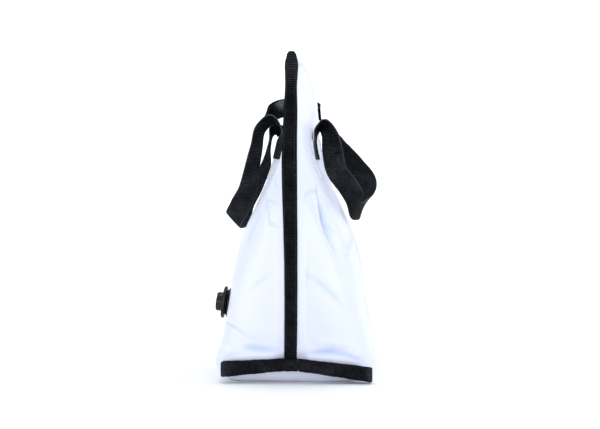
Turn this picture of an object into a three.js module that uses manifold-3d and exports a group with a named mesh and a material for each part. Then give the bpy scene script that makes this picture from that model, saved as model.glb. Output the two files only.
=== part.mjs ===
// A padded fish keeper bag, standing on its base with the zip closed.
// Millimetres. +X is to the right of the near end, +Y runs along the bag to the far end, +Z is up.
// The origin is the middle of the flat base, on the floor.

import * as THREE from "three";
import { mergeVertices } from "three/addons/utils/BufferGeometryUtils.js";
import Module from "manifold-3d";

const wasm = await Module();
wasm.setup();

// Driving dimensions
const HEIGHT = 531; // zip edge above the floor at the two top corners
const TOP_SAG = 8; // how far the zip edge hangs at mid length
const WALL = 8; // padded sheet; the table of sections thins it where it is pressed at the zip
const CLEAR = 0.4; // gap between neighbouring pieces
const STRAP = { width: 38, thick: 2.4 };
const TAPE = 2.2; // binding webbing
// Seam allowance standing out of the bag under an upright binding, and the binding itself
const UPRIGHT_FLANGE = { low: 44, high: HEIGHT - 8, inset: 5, reach: 17 };
const UPRIGHT_BINDING = { low: 46, top: HEIGHT + 6, root: 4, nose_round: 6 };
const BINDING_CAP = { high: 9, width: 0.45, inset: 3 }; // rounded top end of an upright binding
// The same across the base ends, where the corners are boxed
const BASE_FLANGE = { half: 124, middle: 1.2, seam_height: 26, inset: 14, reach: 17 };
const BASE_BINDING = { half: 126, root: 5, nose_round: 6 };
const PATCH = { half_length: 31, low: 348, high: 418, thick: 1.4, lift: 1.5 };
const STITCHED = { low: 383, high: 414 }; // height of the sewn part of a carry handle
// Where the strap ends are sewn, along the bag
const HANDLE_ENDS = { left: { near: -178, far: 150 }, right: { near: -158, far: 150 } };
const ZIP = { width: 7, high: 5, length: 820, sunk: 1 };
const SLIDER = { wide: 11, long: 16, high: 3.4, y: -395 };
const DRAIN = { y: -230, height: 127, tilt: 7.5, bore: 24, bore_long: 60 };
const CAP_GRIP = { count: 10, radius: 1.6, long: 14, from_axis: 17.2, out: 20.5 };

const COLUMNS = 28; // facets from end seam to end seam on one side
const ROWS = [
  0, 8, 20, 32, 48, 72, 100, 130, 160, 190, 215, 238, 260, 282, 304, 326, 348, 370, 396, 428, 464, 500,
  HEIGHT,
];

// Horizontal sections of the outside. half is the half width at mid length, lean its middle there;
// seam_x and seam_y place the end seams; along and across set how square the section is in plan.
const SECTIONS = [
  { height: 0, half: 112, lean: -1, seam_x: -9, seam_y: 312, along: 14, across: 14, wall: WALL },
  { height: 20, half: 131, lean: -1, seam_x: -9, seam_y: 330, along: 13, across: 13, wall: WALL },
  { height: 42, half: 135, lean: -1, seam_x: -8.8, seam_y: 336, along: 10, across: 9, wall: WALL },
  { height: 66, half: 129, lean: -2, seam_x: -8, seam_y: 342, along: 8, across: 7, wall: WALL },
  { height: 135, half: 117, lean: -4, seam_x: -6.6, seam_y: 358, along: 6, across: 5, wall: WALL },
  { height: 200, half: 109.5, lean: -6, seam_x: -6, seam_y: 373, along: 5, across: 3.6, wall: WALL },
  { height: 253, half: 95, lean: -8, seam_x: -6, seam_y: 385, along: 4, across: 2.6, wall: WALL },
  { height: 310, half: 71, lean: -9, seam_x: -6.4, seam_y: 398, along: 3, across: 1.9, wall: WALL },
  { height: 375, half: 41, lean: -9, seam_x: -6.2, seam_y: 413, along: 2.6, across: 1.5, wall: WALL },
  { height: 434, half: 28, lean: -7, seam_x: -4, seam_y: 426, along: 2.6, across: 1.4, wall: WALL },
  { height: 488, half: 19, lean: -3.5, seam_x: -2, seam_y: 439, along: 5, across: 1.6, wall: 7 },
  { height: HEIGHT, half: 10, lean: -0.5, seam_x: -0.5, seam_y: 450, along: 30, across: 3, wall: 5.6 },
];

// Folds of the walls. side is +1 right, -1 left; end is -1 near, +1 far. reach is measured along the
// wall from that end's seam to the start and finish of the fold. A depth above zero goes in.
const FOLDS = [
  { side: 1, end: -1, reach_a: 30, height_a: 335, reach_b: 92, height_b: 185, width: 17, depth: 6 },
  { side: 1, end: -1, reach_a: 66, height_a: 305, reach_b: 128, height_b: 190, width: 20, depth: -4 },
  { side: 1, end: -1, reach_a: 225, height_a: 430, reach_b: 222, height_b: 330, width: 34, depth: 4 },
  { side: 1, end: -1, reach_a: 40, height_a: 52, reach_b: 118, height_b: 70, width: 15, depth: 3 },
  { side: -1, end: -1, reach_a: 42, height_a: 300, reach_b: 96, height_b: 190, width: 22, depth: 4 },
  { side: -1, end: -1, reach_a: 196, height_a: 450, reach_b: 190, height_b: 320, width: 36, depth: 11 },
  { side: -1, end: -1, reach_a: 285, height_a: 430, reach_b: 285, height_b: 340, width: 40, depth: -6 },
  { side: -1, end: -1, reach_a: 128, height_a: 96, reach_b: 50, height_b: 62, width: 14, depth: 3 },
  { side: 1, end: 1, reach_a: 40, height_a: 330, reach_b: 90, height_b: 180, width: 18, depth: 5 },
  { side: -1, end: 1, reach_a: 36, height_a: 320, reach_b: 100, height_b: 190, width: 20, depth: 4 },
  { side: 1, end: -1, reach_a: 420, height_a: 330, reach_b: 480, height_b: 150, width: 34, depth: 6 },
  { side: 1, end: 1, reach_a: 400, height_a: 340, reach_b: 360, height_b: 170, width: 30, depth: -4 },
  { side: -1, end: -1, reach_a: 440, height_a: 330, reach_b: 400, height_b: 160, width: 34, depth: 6 },
  { side: -1, end: 1, reach_a: 390, height_a: 320, reach_b: 420, height_b: 170, width: 30, depth: -4 },
  { side: 1, end: 1, reach_a: 285, height_a: 440, reach_b: 280, height_b: 335, width: 45, depth: -6 },
];

// Width of the upright bindings, seen from the end.
const BINDING_WIDTH = [
  { height: 20, width: 21 },
  { height: 200, width: 21.5 },
  { height: 270, width: 23 },
  { height: 350, width: 24.5 },
  { height: 420, width: 22.5 },
  { height: 480, width: 18.5 },
  { height: 516, width: 20.5 },
  { height: 540, width: 17 },
];

// Middle line and thickness of the base bindings, across the bag.
const BASE_LINE = {
  near: [
    { x: -125, z: 21.5, thick: 23.5 },
    { x: -66, z: 26, thick: 21.5 },
    { x: -8, z: 30, thick: 21 },
    { x: 58, z: 23, thick: 22 },
    { x: 125, z: 13.4, thick: 25 },
  ],
  far: [
    { x: -125, z: 15, thick: 24 },
    { x: -64, z: 23, thick: 22 },
    { x: -8, z: 29, thick: 21 },
    { x: 50, z: 24, thick: 22 },
    { x: 125, z: 16, thick: 24 },
  ],
};

// Straps between their sewn ends: middle line and the direction across the webbing.
const HANDLE_PATHS = {
  left: [
    { x: -41, y: -178, z: 436, across: [-0.05, -0.98, 0.15] },
    { x: -55, y: -175, z: 447, across: [-0.12, -0.88, 0.46] },
    { x: -72, y: -171, z: 433, across: [-0.32, -0.9, 0.3] },
    { x: -80, y: -165, z: 400, across: [-0.5, -0.86, 0.08] },
    { x: -89, y: -157, z: 362, across: [-0.66, -0.74, 0.1] },
    { x: -98, y: -147, z: 325, across: [-0.72, -0.6, 0.3] },
    { x: -112, y: -123, z: 293, across: [-0.72, -0.25, 0.65] },
    { x: -127, y: -88, z: 272, across: [-0.68, 0, 0.73] },
    { x: -127, y: 0, z: 269, across: [-0.68, 0, 0.73] },
    { x: -128, y: 88, z: 276, across: [-0.68, 0, 0.73] },
    { x: -126, y: 122, z: 304, across: [-0.72, -0.25, 0.55] },
    { x: -112, y: 142, z: 340, across: [-0.6, -0.65, 0.25] },
    { x: -94, y: 148, z: 379, across: [-0.28, -0.95, 0.05] },
    { x: -80, y: 150, z: 420, across: [-0.12, -0.98, 0.1] },
    { x: -70, y: 150, z: 452, across: [0, -0.93, 0.38] },
    { x: -50, y: 150, z: 447, across: [0, -0.96, 0.26] },
  ],
  right: [
    { x: 28, y: -158, z: 430, across: [-0.05, -0.93, 0.36] },
    { x: 39, y: -157, z: 442, across: [0.3, -0.82, 0.48] },
    { x: 52, y: -155, z: 424, across: [0.66, -0.63, 0.4] },
    { x: 56, y: -150, z: 397, across: [0.85, -0.3, 0.4] },
    { x: 64, y: -144, z: 360, across: [0.9, 0.1, 0.4] },
    { x: 85, y: -138, z: 329, across: [0.8, 0.1, 0.6] },
    { x: 97, y: -120, z: 309, across: [0.72, 0, 0.69] },
    { x: 98, y: -90, z: 292, across: [0.5, 0, 0.86] },
    { x: 105, y: 0, z: 287, across: [0.4, 0, 0.92] },
    { x: 112, y: 84, z: 294, across: [0.4, 0, 0.92] },
    { x: 120, y: 118, z: 314, across: [0.65, -0.25, 0.7] },
    { x: 119, y: 136, z: 346, across: [0.75, -0.15, 0.62] },
    { x: 95, y: 145, z: 380, across: [0.74, -0.25, 0.6] },
    { x: 69, y: 149, z: 414, across: [0.6, -0.65, 0.35] },
    { x: 55, y: 150, z: 443, across: [0.1, -1, 0] },
    { x: 37, y: 150, z: 441, across: [0, -1, 0] },
  ],
};
const END_LOOP_PATH = [
  { x: 16.8, y: 396, z: 498, across: [-0.1, 0, 1] },
  { x: 14.2, y: 432, z: 504, across: [-0.05, 0, 1] },
  { x: 12, y: 460, z: 512, across: [0, 0, 1] },
  { x: -2, y: 486, z: 520, across: [0, 0, 1] },
  { x: -38, y: 490, z: 525, across: [0.1, 0, 1] },
  { x: -75, y: 478, z: 524, across: [0.2, 0, 1] },
  { x: -105, y: 454, z: 509, across: [0.38, -0.1, 0.92] },
  { x: -113, y: 424, z: 493, across: [0.55, -0.1, 0.83] },
  { x: -99, y: 400, z: 497, across: [0.5, 0, 0.86] },
  { x: -70, y: 386, z: 513, across: [0.2, 0, 1] },
  { x: -42, y: 384, z: 515, across: [0, 0, 1] },
  { x: -22, y: 398, z: 511, across: [-0.05, 0, 1] },
  { x: -17, y: 430, z: 513, across: [-0.05, 0, 1] },
];

// Drain, turned about its own axis: distance out from the wall against radius.
const DRAIN_BASE = [
  { r: 8, z: -20 },
  { r: 11, z: -20 },
  { r: 11, z: 1.2 },
  { r: 26, z: 1.2 },
  { r: 25, z: 3.6 },
  { r: 21.5, z: 4.6 },
  { r: 21.5, z: 6.2 },
  { r: 8, z: 6.2 },
];
const DRAIN_COLLAR = [
  { r: 12, z: 6.6 },
  { r: 26.5, z: 6.6 },
  { r: 28, z: 8 },
  { r: 28, z: 11.2 },
  { r: 26.5, z: 12.4 },
  { r: 12, z: 12.4 },
];
const DRAIN_CAP = [
  { r: 0, z: 7.6 },
  { r: 10.6, z: 7.6 },
  { r: 11.4, z: 8.4 },
  { r: 11.4, z: 12.8 },
  { r: 16.2, z: 12.8 },
  { r: 16.6, z: 14 },
  { r: 16.6, z: 21 },
  { r: 14.6, z: 23.4 },
  { r: 0, z: 24 },
];

// Reads one column of a table at a value of its key, smoothly.
function reader(table, key, columns) {
  const at = table.map((row) => row[key]);
  const values = table.flatMap((row) => columns.map((column) => row[column]));
  const curve = new THREE.CubicInterpolant(at, values, columns.length);
  return (value) => {
    const held = THREE.MathUtils.clamp(value, at[0], at.at(-1));
    const found = [...curve.evaluate(held)];
    return Object.fromEntries(columns.map((column, i) => [column, found[i]]));
  };
}
const FORM = ["half", "lean", "seam_x", "seam_y", "along", "across", "wall"];
const sectionAt = reader(SECTIONS, "height", FORM);
const bindingAt = reader(BINDING_WIDTH, "height", ["width"]);

// Height of the zip edge along the bag, and of a section's points under it.
function dropAt(y, height) {
  const along = Math.min(1, Math.abs(y) / SECTIONS.at(-1).seam_y);
  return (TOP_SAG * (1 - along * along) * height) / HEIGHT;
}

// Half width of a section at a place along the bag. skin is "outside" or "inside".
function halfAt(section, y, skin) {
  const inset = skin === "inside" ? section.wall : 0;
  const t = Math.min(1, Math.abs(y) / (section.seam_y - inset));
  const share = (1 - t ** section.along) ** (1 / section.across);
  return section.wall - inset + (section.half - section.wall) * share;
}
function middleAt(section, y) {
  const t = Math.min(1, Math.abs(y) / section.seam_y);
  return section.lean + (section.seam_x - section.lean) * t ** 3;
}

// How far the folds push a wall in, at a place measured along it.
function foldAt(side, reach, length, height) {
  let depth = 0;
  for (const fold of FOLDS) {
    if (fold.side !== side) continue;
    const near = fold.end < 0 ? reach : length - reach;
    const run = new THREE.Vector2(fold.reach_b - fold.reach_a, fold.height_b - fold.height_a);
    const from = new THREE.Vector2(near - fold.reach_a, height - fold.height_a);
    const share = THREE.MathUtils.clamp(from.dot(run) / run.lengthSq(), 0, 1);
    const away = from.distanceTo(run.multiplyScalar(share));
    const taper = 0.35 + 0.65 * Math.sin(Math.PI * share);
    depth += fold.depth * taper * Math.exp(-((away / fold.width) ** 2));
  }
  const from_seam = Math.min(reach, length - reach);
  return depth * THREE.MathUtils.smoothstep(from_seam, 4, 26);
}

// One side of a section as a fine line from near seam to far seam, with the distance along it.
function wallLine(side, height, skin) {
  const section = sectionAt(height);
  const end = section.seam_y - (skin === "inside" ? section.wall : 0);
  const points = [];
  const reach = [0];
  const steps = 240;
  for (let i = 0; i <= steps; i += 1) {
    const turn = Math.cos(Math.PI * (1 - i / steps));
    const y = end * Math.sign(turn) * Math.abs(turn) ** (2 / section.along);
    points.push(new THREE.Vector2(middleAt(section, y) + side * halfAt(section, y, skin), y));
    if (i > 0) reach.push(reach[i - 1] + points[i].distanceTo(points[i - 1]));
  }
  return { side, height, points, reach, length: reach.at(-1) };
}
function wallPoint(line, at) {
  const last = line.reach.length - 1;
  const after = line.reach.findIndex((reach) => reach > at);
  const i = after < 0 ? last : Math.max(1, after);
  const share = (at - line.reach[i - 1]) / (line.reach[i] - line.reach[i - 1]);
  const flat = line.points[i - 1].clone().lerp(line.points[i], share);
  const ahead = line.points[Math.min(last, i + 2)].clone().sub(line.points[Math.max(0, i - 3)]).normalize();
  const fold = foldAt(line.side, at, line.length, line.height);
  const x = flat.x - fold * line.side * ahead.y;
  const y = flat.y + fold * line.side * ahead.x;
  return new THREE.Vector3(x, y, line.height - dropAt(y, line.height));
}

// Points of one side of a section, spaced along the wall and closer together at the ends.
function wallPoints(side, height, skin, columns) {
  const line = wallLine(side, height, skin);
  const points = [];
  for (let i = 0; i <= columns; i += 1) {
    const even = i / columns;
    const share = 0.55 * even + 0.45 * (0.5 - 0.5 * Math.cos(Math.PI * even));
    points.push(wallPoint(line, share * line.length));
  }
  return points;
}

// Joins rings of points into a closed body. Each ring is a right half and a left half of equal length.
function loft(rings) {
  const count = rings[0].length;
  const half = count / 2;
  const points = rings.flat();
  const index = [];
  for (let row = 0; row + 1 < rings.length; row += 1) {
    for (let i = 0; i < count; i += 1) {
      const a = row * count + i;
      const b = row * count + ((i + 1) % count);
      index.push(a, b, b + count, a, b + count, a + count);
    }
  }
  const top = (rings.length - 1) * count;
  for (let i = 0; i + 1 < half; i += 1) {
    const a = i;
    const b = i + 1;
    const c = count - 2 - i;
    const d = count - 1 - i;
    index.push(a, c, b, a, d, c);
    index.push(top + a, top + b, top + c, top + a, top + c, top + d);
  }
  const geometry = new THREE.BufferGeometry().setFromPoints(points);
  geometry.setIndex(index);
  return geometry;
}

function toSolid(geometry) {
  const bare = new THREE.BufferGeometry();
  bare.setAttribute("position", geometry.getAttribute("position"));
  if (geometry.index) bare.setIndex(geometry.index);
  const merged = mergeVertices(bare, 1e-4);
  const vertProperties = Float32Array.from(merged.getAttribute("position").array);
  const triVerts = Uint32Array.from(merged.index.array);
  const solid = new wasm.Manifold(new wasm.Mesh({ numProp: 3, vertProperties, triVerts }));
  if (solid.volume() < 0) throw new Error("a body is inside out");
  return solid;
}

function fromSolid(solid) {
  const mesh = solid.getMesh();
  const geometry = new THREE.BufferGeometry();
  geometry.setAttribute("position", new THREE.BufferAttribute(mesh.vertProperties, 3));
  geometry.setIndex(new THREE.BufferAttribute(mesh.triVerts, 1));
  return geometry;
}

// Rings of the bag's outside or inside, one for each height.
function bagRings(skin, heights, columns) {
  return heights.map((height) => {
    const right = wallPoints(1, height, skin, columns);
    const left = wallPoints(-1, height, skin, columns).reverse();
    return [...right, ...left];
  });
}
function outside() {
  return loft(bagRings("outside", ROWS, COLUMNS));
}
function inside() {
  const heights = ROWS.filter((height, i) => i % 2 === 0 && height > WALL);
  const rings = bagRings("inside", [WALL, ...heights], 22);
  for (const point of rings[0]) point.z = WALL;
  const top = rings.at(-1).map((point) => point.clone().setZ(HEIGHT + 20));
  return loft([...rings, top]);
}

// Upright seam allowance at one end, as a strip; grow widens it into the room cut for it in its binding.
function uprightStrip(end, low, high, grow) {
  const rings = [];
  const levels = 14;
  for (let i = 0; i <= levels; i += 1) {
    const height = THREE.MathUtils.lerp(low, high, i / levels);
    const section = sectionAt(height);
    const half = bindingAt(height).width / 2 - TAPE - CLEAR + grow;
    const root = end * (section.seam_y - UPRIGHT_FLANGE.inset);
    const nose = end * (section.seam_y + UPRIGHT_FLANGE.reach + grow);
    const ring = [
      new THREE.Vector3(section.seam_x + half, Math.min(root, nose), height),
      new THREE.Vector3(section.seam_x + half, Math.max(root, nose), height),
      new THREE.Vector3(section.seam_x - half, Math.max(root, nose), height),
      new THREE.Vector3(section.seam_x - half, Math.min(root, nose), height),
    ];
    rings.push(ring);
  }
  return loft(rings);
}

// Outer form of an upright binding: a rounded strip with a rounded top.
function uprightBinding(end) {
  const { low, top, nose_round } = UPRIGHT_BINDING;
  const rings = [];
  const levels = 18;
  for (let i = 0; i <= levels; i += 1) {
    const height = THREE.MathUtils.lerp(low, top, 1 - (1 - i / levels) ** 1.9);
    const section = sectionAt(height);
    const close = THREE.MathUtils.clamp((top - height) / BINDING_CAP.high, 0.03, 1);
    const pinch = Math.sqrt(1 - (1 - close) ** 2);
    const half = (bindingAt(height).width / 2) * THREE.MathUtils.lerp(BINDING_CAP.width, 1, pinch);
    const root = section.seam_y + UPRIGHT_BINDING.root;
    const reach = UPRIGHT_FLANGE.reach + CLEAR + TAPE - BINDING_CAP.inset * (1 - pinch);
    const nose = section.seam_y + reach;
    const right = [new THREE.Vector3(section.seam_x + half, end * root, height)];
    const round = Math.min(nose_round, half - 0.5);
    for (let k = 0; k <= 4; k += 1) {
      const angle = (Math.PI / 2) * (k / 4);
      const x = half - round + round * Math.cos(angle);
      const y = nose - round + round * Math.sin(angle);
      right.push(new THREE.Vector3(section.seam_x + x, end * y, height));
    }
    const left = right.map((point) => point.clone().setX(2 * section.seam_x - point.x)).reverse();
    const ring = [...right, ...left];
    rings.push(end > 0 ? ring : ring.reverse());
  }
  return loft(rings);
}

// A strip across the bag at one base end, thinner than its binding by a given amount on each face.
function baseStrip(line, end, half, inner, outer, thinner, round) {
  const lineAt = reader(line, "x", ["z", "thick"]);
  const rings = [];
  const levels = 16;
  for (let i = 0; i <= levels; i += 1) {
    const x = BASE_FLANGE.middle + THREE.MathUtils.lerp(-half, half, i / levels);
    const { z, thick: whole } = lineAt(x);
    const thick = whole - 2 * thinner;
    const upper = [new THREE.Vector3(x, end * inner, z + thick / 2)];
    const steps = round > 0 ? 4 : 0;
    for (let k = 0; k <= steps; k += 1) {
      const angle = steps > 0 ? (Math.PI / 2) * (k / steps) : Math.PI / 4;
      const lift = round > 0 ? thick / 2 - round + round * Math.cos(angle) : thick / 2;
      const out = round > 0 ? outer - round + round * Math.sin(angle) : outer;
      upper.push(new THREE.Vector3(x, end * out, z + lift));
    }
    const lower = upper.map((point) => point.clone().setZ(2 * z - point.z)).reverse();
    const ring = [...upper, ...lower];
    rings.push(end < 0 ? ring : ring.reverse());
  }
  return loft(rings);
}
function baseFlange(line, end, grow, half) {
  const seam = sectionAt(BASE_FLANGE.seam_height).seam_y;
  const inner = seam - BASE_FLANGE.inset;
  const outer = seam + BASE_FLANGE.reach + grow;
  return baseStrip(line, end, half, inner, outer, TAPE + CLEAR - grow, 0);
}
function baseBinding(line, end) {
  const seam = sectionAt(BASE_FLANGE.seam_height).seam_y;
  const inner = seam + BASE_BINDING.root;
  const outer = seam + BASE_FLANGE.reach + CLEAR + TAPE;
  return baseStrip(line, end, BASE_BINDING.half, inner, outer, 0, BASE_BINDING.nose_round);
}

// Place on the outside of a side panel, and the way it faces.
function panelAt(side, y, height) {
  const place = (along, up) => {
    const line = wallLine(side, up, "outside");
    const i = line.points.findIndex((point) => point.y > along);
    const share = (along - line.points[i - 1].y) / (line.points[i].y - line.points[i - 1].y);
    return wallPoint(line, THREE.MathUtils.lerp(line.reach[i - 1], line.reach[i], share));
  };
  const spot = place(y, height);
  const alongY = place(y + 4, height).sub(place(y - 4, height));
  const alongZ = place(y, height + 4).sub(place(y, height - 4));
  const facing = alongY.cross(alongZ).normalize();
  if (facing.x * side < 0) facing.negate();
  return { spot, facing };
}

// A patch lying on a side panel.
function patch(side, y) {
  const rings = [];
  const across = 6;
  const up = 6;
  for (let j = 0; j <= up; j += 1) {
    const height = THREE.MathUtils.lerp(PATCH.low, PATCH.high, j / up);
    const inner = [];
    const outer = [];
    for (let i = 0; i <= across; i += 1) {
      const along = y + THREE.MathUtils.lerp(-PATCH.half_length, PATCH.half_length, i / across);
      const { spot, facing } = panelAt(side, along, height);
      inner.push(spot.clone().addScaledVector(facing, PATCH.lift));
      outer.push(spot.clone().addScaledVector(facing, PATCH.lift + PATCH.thick));
    }
    rings.push(side > 0 ? [...outer, ...inner.reverse()] : [...inner, ...outer.reverse()]);
  }
  return loft(rings);
}

// Flat webbing along a middle line, with a given direction across it at each row of the path.
function webbing(path, steps) {
  const points = path.map((row) => new THREE.Vector3(row.x, row.y, row.z));
  const line = new THREE.CatmullRomCurve3(points, false, "centripetal");
  const across = new THREE.CatmullRomCurve3(path.map((row) => new THREE.Vector3(...row.across)));
  const rings = [];
  for (let i = 0; i <= steps; i += 1) {
    const share = i / steps;
    const middle = line.getPoint(share);
    const ahead = line.getTangent(share);
    const wide = across.getPoint(share);
    wide.addScaledVector(ahead, -wide.dot(ahead)).normalize();
    const face = new THREE.Vector3().crossVectors(ahead, wide);
    const corner = (u, v) =>
      middle
        .clone()
        .addScaledVector(wide, (u * STRAP.width) / 2)
        .addScaledVector(face, (v * STRAP.thick) / 2);
    rings.push([corner(1, -1), corner(1, 1), corner(-1, 1), corner(-1, -1)]);
  }
  return loft(rings);
}
function carryHandle(side, free, ends) {
  const lift = PATCH.lift + PATCH.thick + 1.5 * CLEAR + STRAP.thick / 2;
  const sewn = (y, height) => {
    const { spot, facing } = panelAt(side, y, height);
    const wide = new THREE.Vector3(0, -1, 0);
    wide.addScaledVector(facing, -wide.dot(facing));
    const middle = spot.addScaledVector(facing, lift);
    return { x: middle.x, y: middle.y, z: middle.z, across: wide.toArray() };
  };
  const heights = [STITCHED.low, (STITCHED.low + STITCHED.high) / 2, STITCHED.high];
  const path = [
    ...heights.map((height) => sewn(ends.near, height)),
    ...free,
    ...heights.reverse().map((height) => sewn(ends.far, height)),
  ];
  return webbing(path, 72);
}

// The zip: tape and teeth as one strip in the mouth, and a plain slider parked at the near end.
function zipStrip() {
  const rings = [];
  const levels = 24;
  for (let i = 0; i <= levels; i += 1) {
    const y = THREE.MathUtils.lerp(-ZIP.length / 2, ZIP.length / 2, i / levels);
    const section = sectionAt(HEIGHT);
    const x = middleAt(section, y);
    const top = HEIGHT - dropAt(y, HEIGHT) - ZIP.sunk;
    const half = ZIP.width / 2;
    rings.push([
      new THREE.Vector3(x + half, y, top - ZIP.high),
      new THREE.Vector3(x - half, y, top - ZIP.high),
      new THREE.Vector3(x - half, y, top),
      new THREE.Vector3(x + half, y, top),
    ]);
  }
  return loft(rings);
}

function turned(profile, facets) {
  const closed = profile[0].r > 0 ? [...profile, profile[0]] : profile;
  const points = closed.map((row) => new THREE.Vector2(row.r, row.z));
  return new THREE.LatheGeometry(points, facets).rotateX(Math.PI / 2);
}
function drainPlace() {
  const { spot } = panelAt(-1, DRAIN.y, DRAIN.height);
  const axis = new THREE.Vector3(-1, 0, Math.tan(THREE.MathUtils.degToRad(DRAIN.tilt))).normalize();
  const turn = new THREE.Quaternion().setFromUnitVectors(new THREE.Vector3(0, 0, 1), axis);
  return new THREE.Matrix4().compose(spot, turn, new THREE.Vector3(1, 1, 1));
}

// Bodies
const placeDrain = drainPlace();
const boreRadius = DRAIN.bore / 2;
const bore = new THREE.CylinderGeometry(boreRadius, boreRadius, DRAIN.bore_long, 32).rotateX(Math.PI / 2);
const upright = (end) => toSolid(uprightStrip(end, UPRIGHT_FLANGE.low, UPRIGHT_FLANGE.high, 0));
const bodySolid = toSolid(outside())
  .add(upright(-1))
  .add(upright(1))
  .add(toSolid(baseFlange(BASE_LINE.near, -1, 0, BASE_FLANGE.half)))
  .add(toSolid(baseFlange(BASE_LINE.far, 1, 0, BASE_FLANGE.half)))
  .subtract(toSolid(inside()))
  .subtract(toSolid(bore.applyMatrix4(placeDrain)));

// A binding is its outer form less the room for the seam allowance, which runs out through its open ends.
const PAST_END = 18;
const boundUpright = (end) => {
  const low = UPRIGHT_BINDING.low - PAST_END;
  const room = toSolid(uprightStrip(end, low, UPRIGHT_FLANGE.high + CLEAR, CLEAR));
  return fromSolid(toSolid(uprightBinding(end)).subtract(room));
};
const boundBase = (line, end) => {
  const room = toSolid(baseFlange(line, end, CLEAR, BASE_BINDING.half + PAST_END));
  return fromSolid(toSolid(baseBinding(line, end)).subtract(room));
};

function capBody() {
  const form = toSolid(turned(DRAIN_CAP, 40));
  const { count, radius, long, from_axis, out } = CAP_GRIP;
  const groove = new THREE.CylinderGeometry(radius, radius, long, 6).rotateX(Math.PI / 2);
  let cut = form;
  for (let i = 0; i < count; i += 1) {
    const angle = (2 * Math.PI * i) / count;
    const x = from_axis * Math.cos(angle);
    const y = from_axis * Math.sin(angle);
    cut = cut.subtract(toSolid(groove.clone().translate(x, y, out)));
  }
  return fromSolid(cut);
}
function sliderBody() {
  const edge = HEIGHT - dropAt(SLIDER.y - SLIDER.long / 2, HEIGHT);
  const block = new THREE.BoxGeometry(SLIDER.wide, SLIDER.long, SLIDER.high);
  return block.translate(sectionAt(HEIGHT).seam_x, SLIDER.y, edge + CLEAR + SLIDER.high / 2);
}

const WHITE = { color: 0xf1f4fa, roughness: 0.42, metalness: 0 };
const WEBBING = { color: 0x1b1d21, roughness: 0.85, metalness: 0 };
const BLACK_PLASTIC = { color: 0x0b0c0e, roughness: 0.25, metalness: 0 };
const ZIP_GREY = { color: 0x2a2c30, roughness: 0.6, metalness: 0 };

const bag = new THREE.Group();
bag.name = "fish_keeper_bag";
function piece(name, geometry, finish, matrix) {
  const mesh = new THREE.Mesh(geometry, new THREE.MeshStandardMaterial(finish));
  mesh.name = name;
  if (matrix) mesh.applyMatrix4(matrix);
  bag.add(mesh);
}

piece("bag_body", fromSolid(bodySolid), WHITE);
piece("end_binding_near", boundUpright(-1), WEBBING);
piece("end_binding_far", boundUpright(1), WEBBING);
piece("base_binding_near", boundBase(BASE_LINE.near, -1), WEBBING);
piece("base_binding_far", boundBase(BASE_LINE.far, 1), WEBBING);
piece("zip", zipStrip(), ZIP_GREY);
piece("zip_slider", sliderBody(), BLACK_PLASTIC);
for (const [word, side] of [["left", -1], ["right", 1]]) {
  const ends = HANDLE_ENDS[word];
  piece(`handle_patch_${word}_near`, patch(side, ends.near), WHITE);
  piece(`handle_patch_${word}_far`, patch(side, ends.far), WHITE);
  piece(`handle_${word}`, carryHandle(side, HANDLE_PATHS[word], ends), WEBBING);
}
piece("end_loop", webbing(END_LOOP_PATH, 56), WEBBING);
piece("drain_base", turned(DRAIN_BASE, 36), BLACK_PLASTIC, placeDrain);
piece("drain_collar", turned(DRAIN_COLLAR, 40), BLACK_PLASTIC, placeDrain);
piece("drain_cap", capBody(), BLACK_PLASTIC, placeDrain);

export default bag;
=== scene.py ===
"""Looks of a padded fish keeper bag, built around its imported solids.

Tables and helpers work in millimetres, in the frame of the solids; meshes are made in metres.
"""

import math

import bmesh
import bpy
import numpy as np
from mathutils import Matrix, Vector


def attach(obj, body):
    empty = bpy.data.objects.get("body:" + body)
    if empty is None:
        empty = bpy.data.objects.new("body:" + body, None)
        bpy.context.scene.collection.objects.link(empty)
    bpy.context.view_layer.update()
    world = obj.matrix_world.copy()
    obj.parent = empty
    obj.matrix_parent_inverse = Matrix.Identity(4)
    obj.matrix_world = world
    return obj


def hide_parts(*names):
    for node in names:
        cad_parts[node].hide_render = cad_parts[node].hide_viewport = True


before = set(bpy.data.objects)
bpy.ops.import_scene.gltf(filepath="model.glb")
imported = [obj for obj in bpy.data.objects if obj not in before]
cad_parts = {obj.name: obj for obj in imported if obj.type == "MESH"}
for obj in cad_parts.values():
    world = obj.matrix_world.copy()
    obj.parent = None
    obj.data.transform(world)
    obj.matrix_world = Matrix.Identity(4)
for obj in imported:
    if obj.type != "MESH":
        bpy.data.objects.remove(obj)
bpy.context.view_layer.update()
MM = 0.001

# Driving dimensions, as in the solids
HEIGHT, TOP_HALF, TOP_SAG = 531.0, 450.0, 8.0
CLEAR, TAPE, TAPE_SKIN, TAPE_BEND = 0.4, 2.2, 1.9, 6.0
STRAP_WIDTH, STRAP_THICK = 38.0, 2.4
FLANGE_REACH = 17.0
SEAM_FILL, BASE_FILL = 8.5, 7.0
BASE_HALF, BASE_MIDDLE, BASE_SEAM_HEIGHT = 124.0, 1.2, 26.0
PATCH_HALF, PATCH_MIDDLE, PATCH_RISE, PATCH_TOP = 31.0, 383.0, 35.0, 2.7
# Where a patch is sewn, as a share of its half size, its thickness there, its stitches' way in from its
# edges, and its gap over the wall
PATCH_SEAM, PATCH_SUNK, PATCH_INSET, PATCH_GAP = 0.86, 1.7, (4.4, 4.6), 0.2
# Underside of a strap end on its patch, and its stitches' way in from its edges
STRAP_LIFT, STRAP_INSET = PATCH_TOP + 0.5, 4.0
STITCHED = (383.0, 398.5, 414.0)
HANDLE_ENDS = {"left": (-178.0, 150.0), "right": (-158.0, 150.0)}
SIDES = {"left": -1, "right": 1}
ENDS = {"near": -1, "far": 1}
DRAIN_SPOT = np.array([-121.267, -230.0, 125.586])
DRAIN_AXIS = np.array([-0.991445, 0.0, 0.130526])
DRAIN_HEIGHT = 127.0

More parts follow.
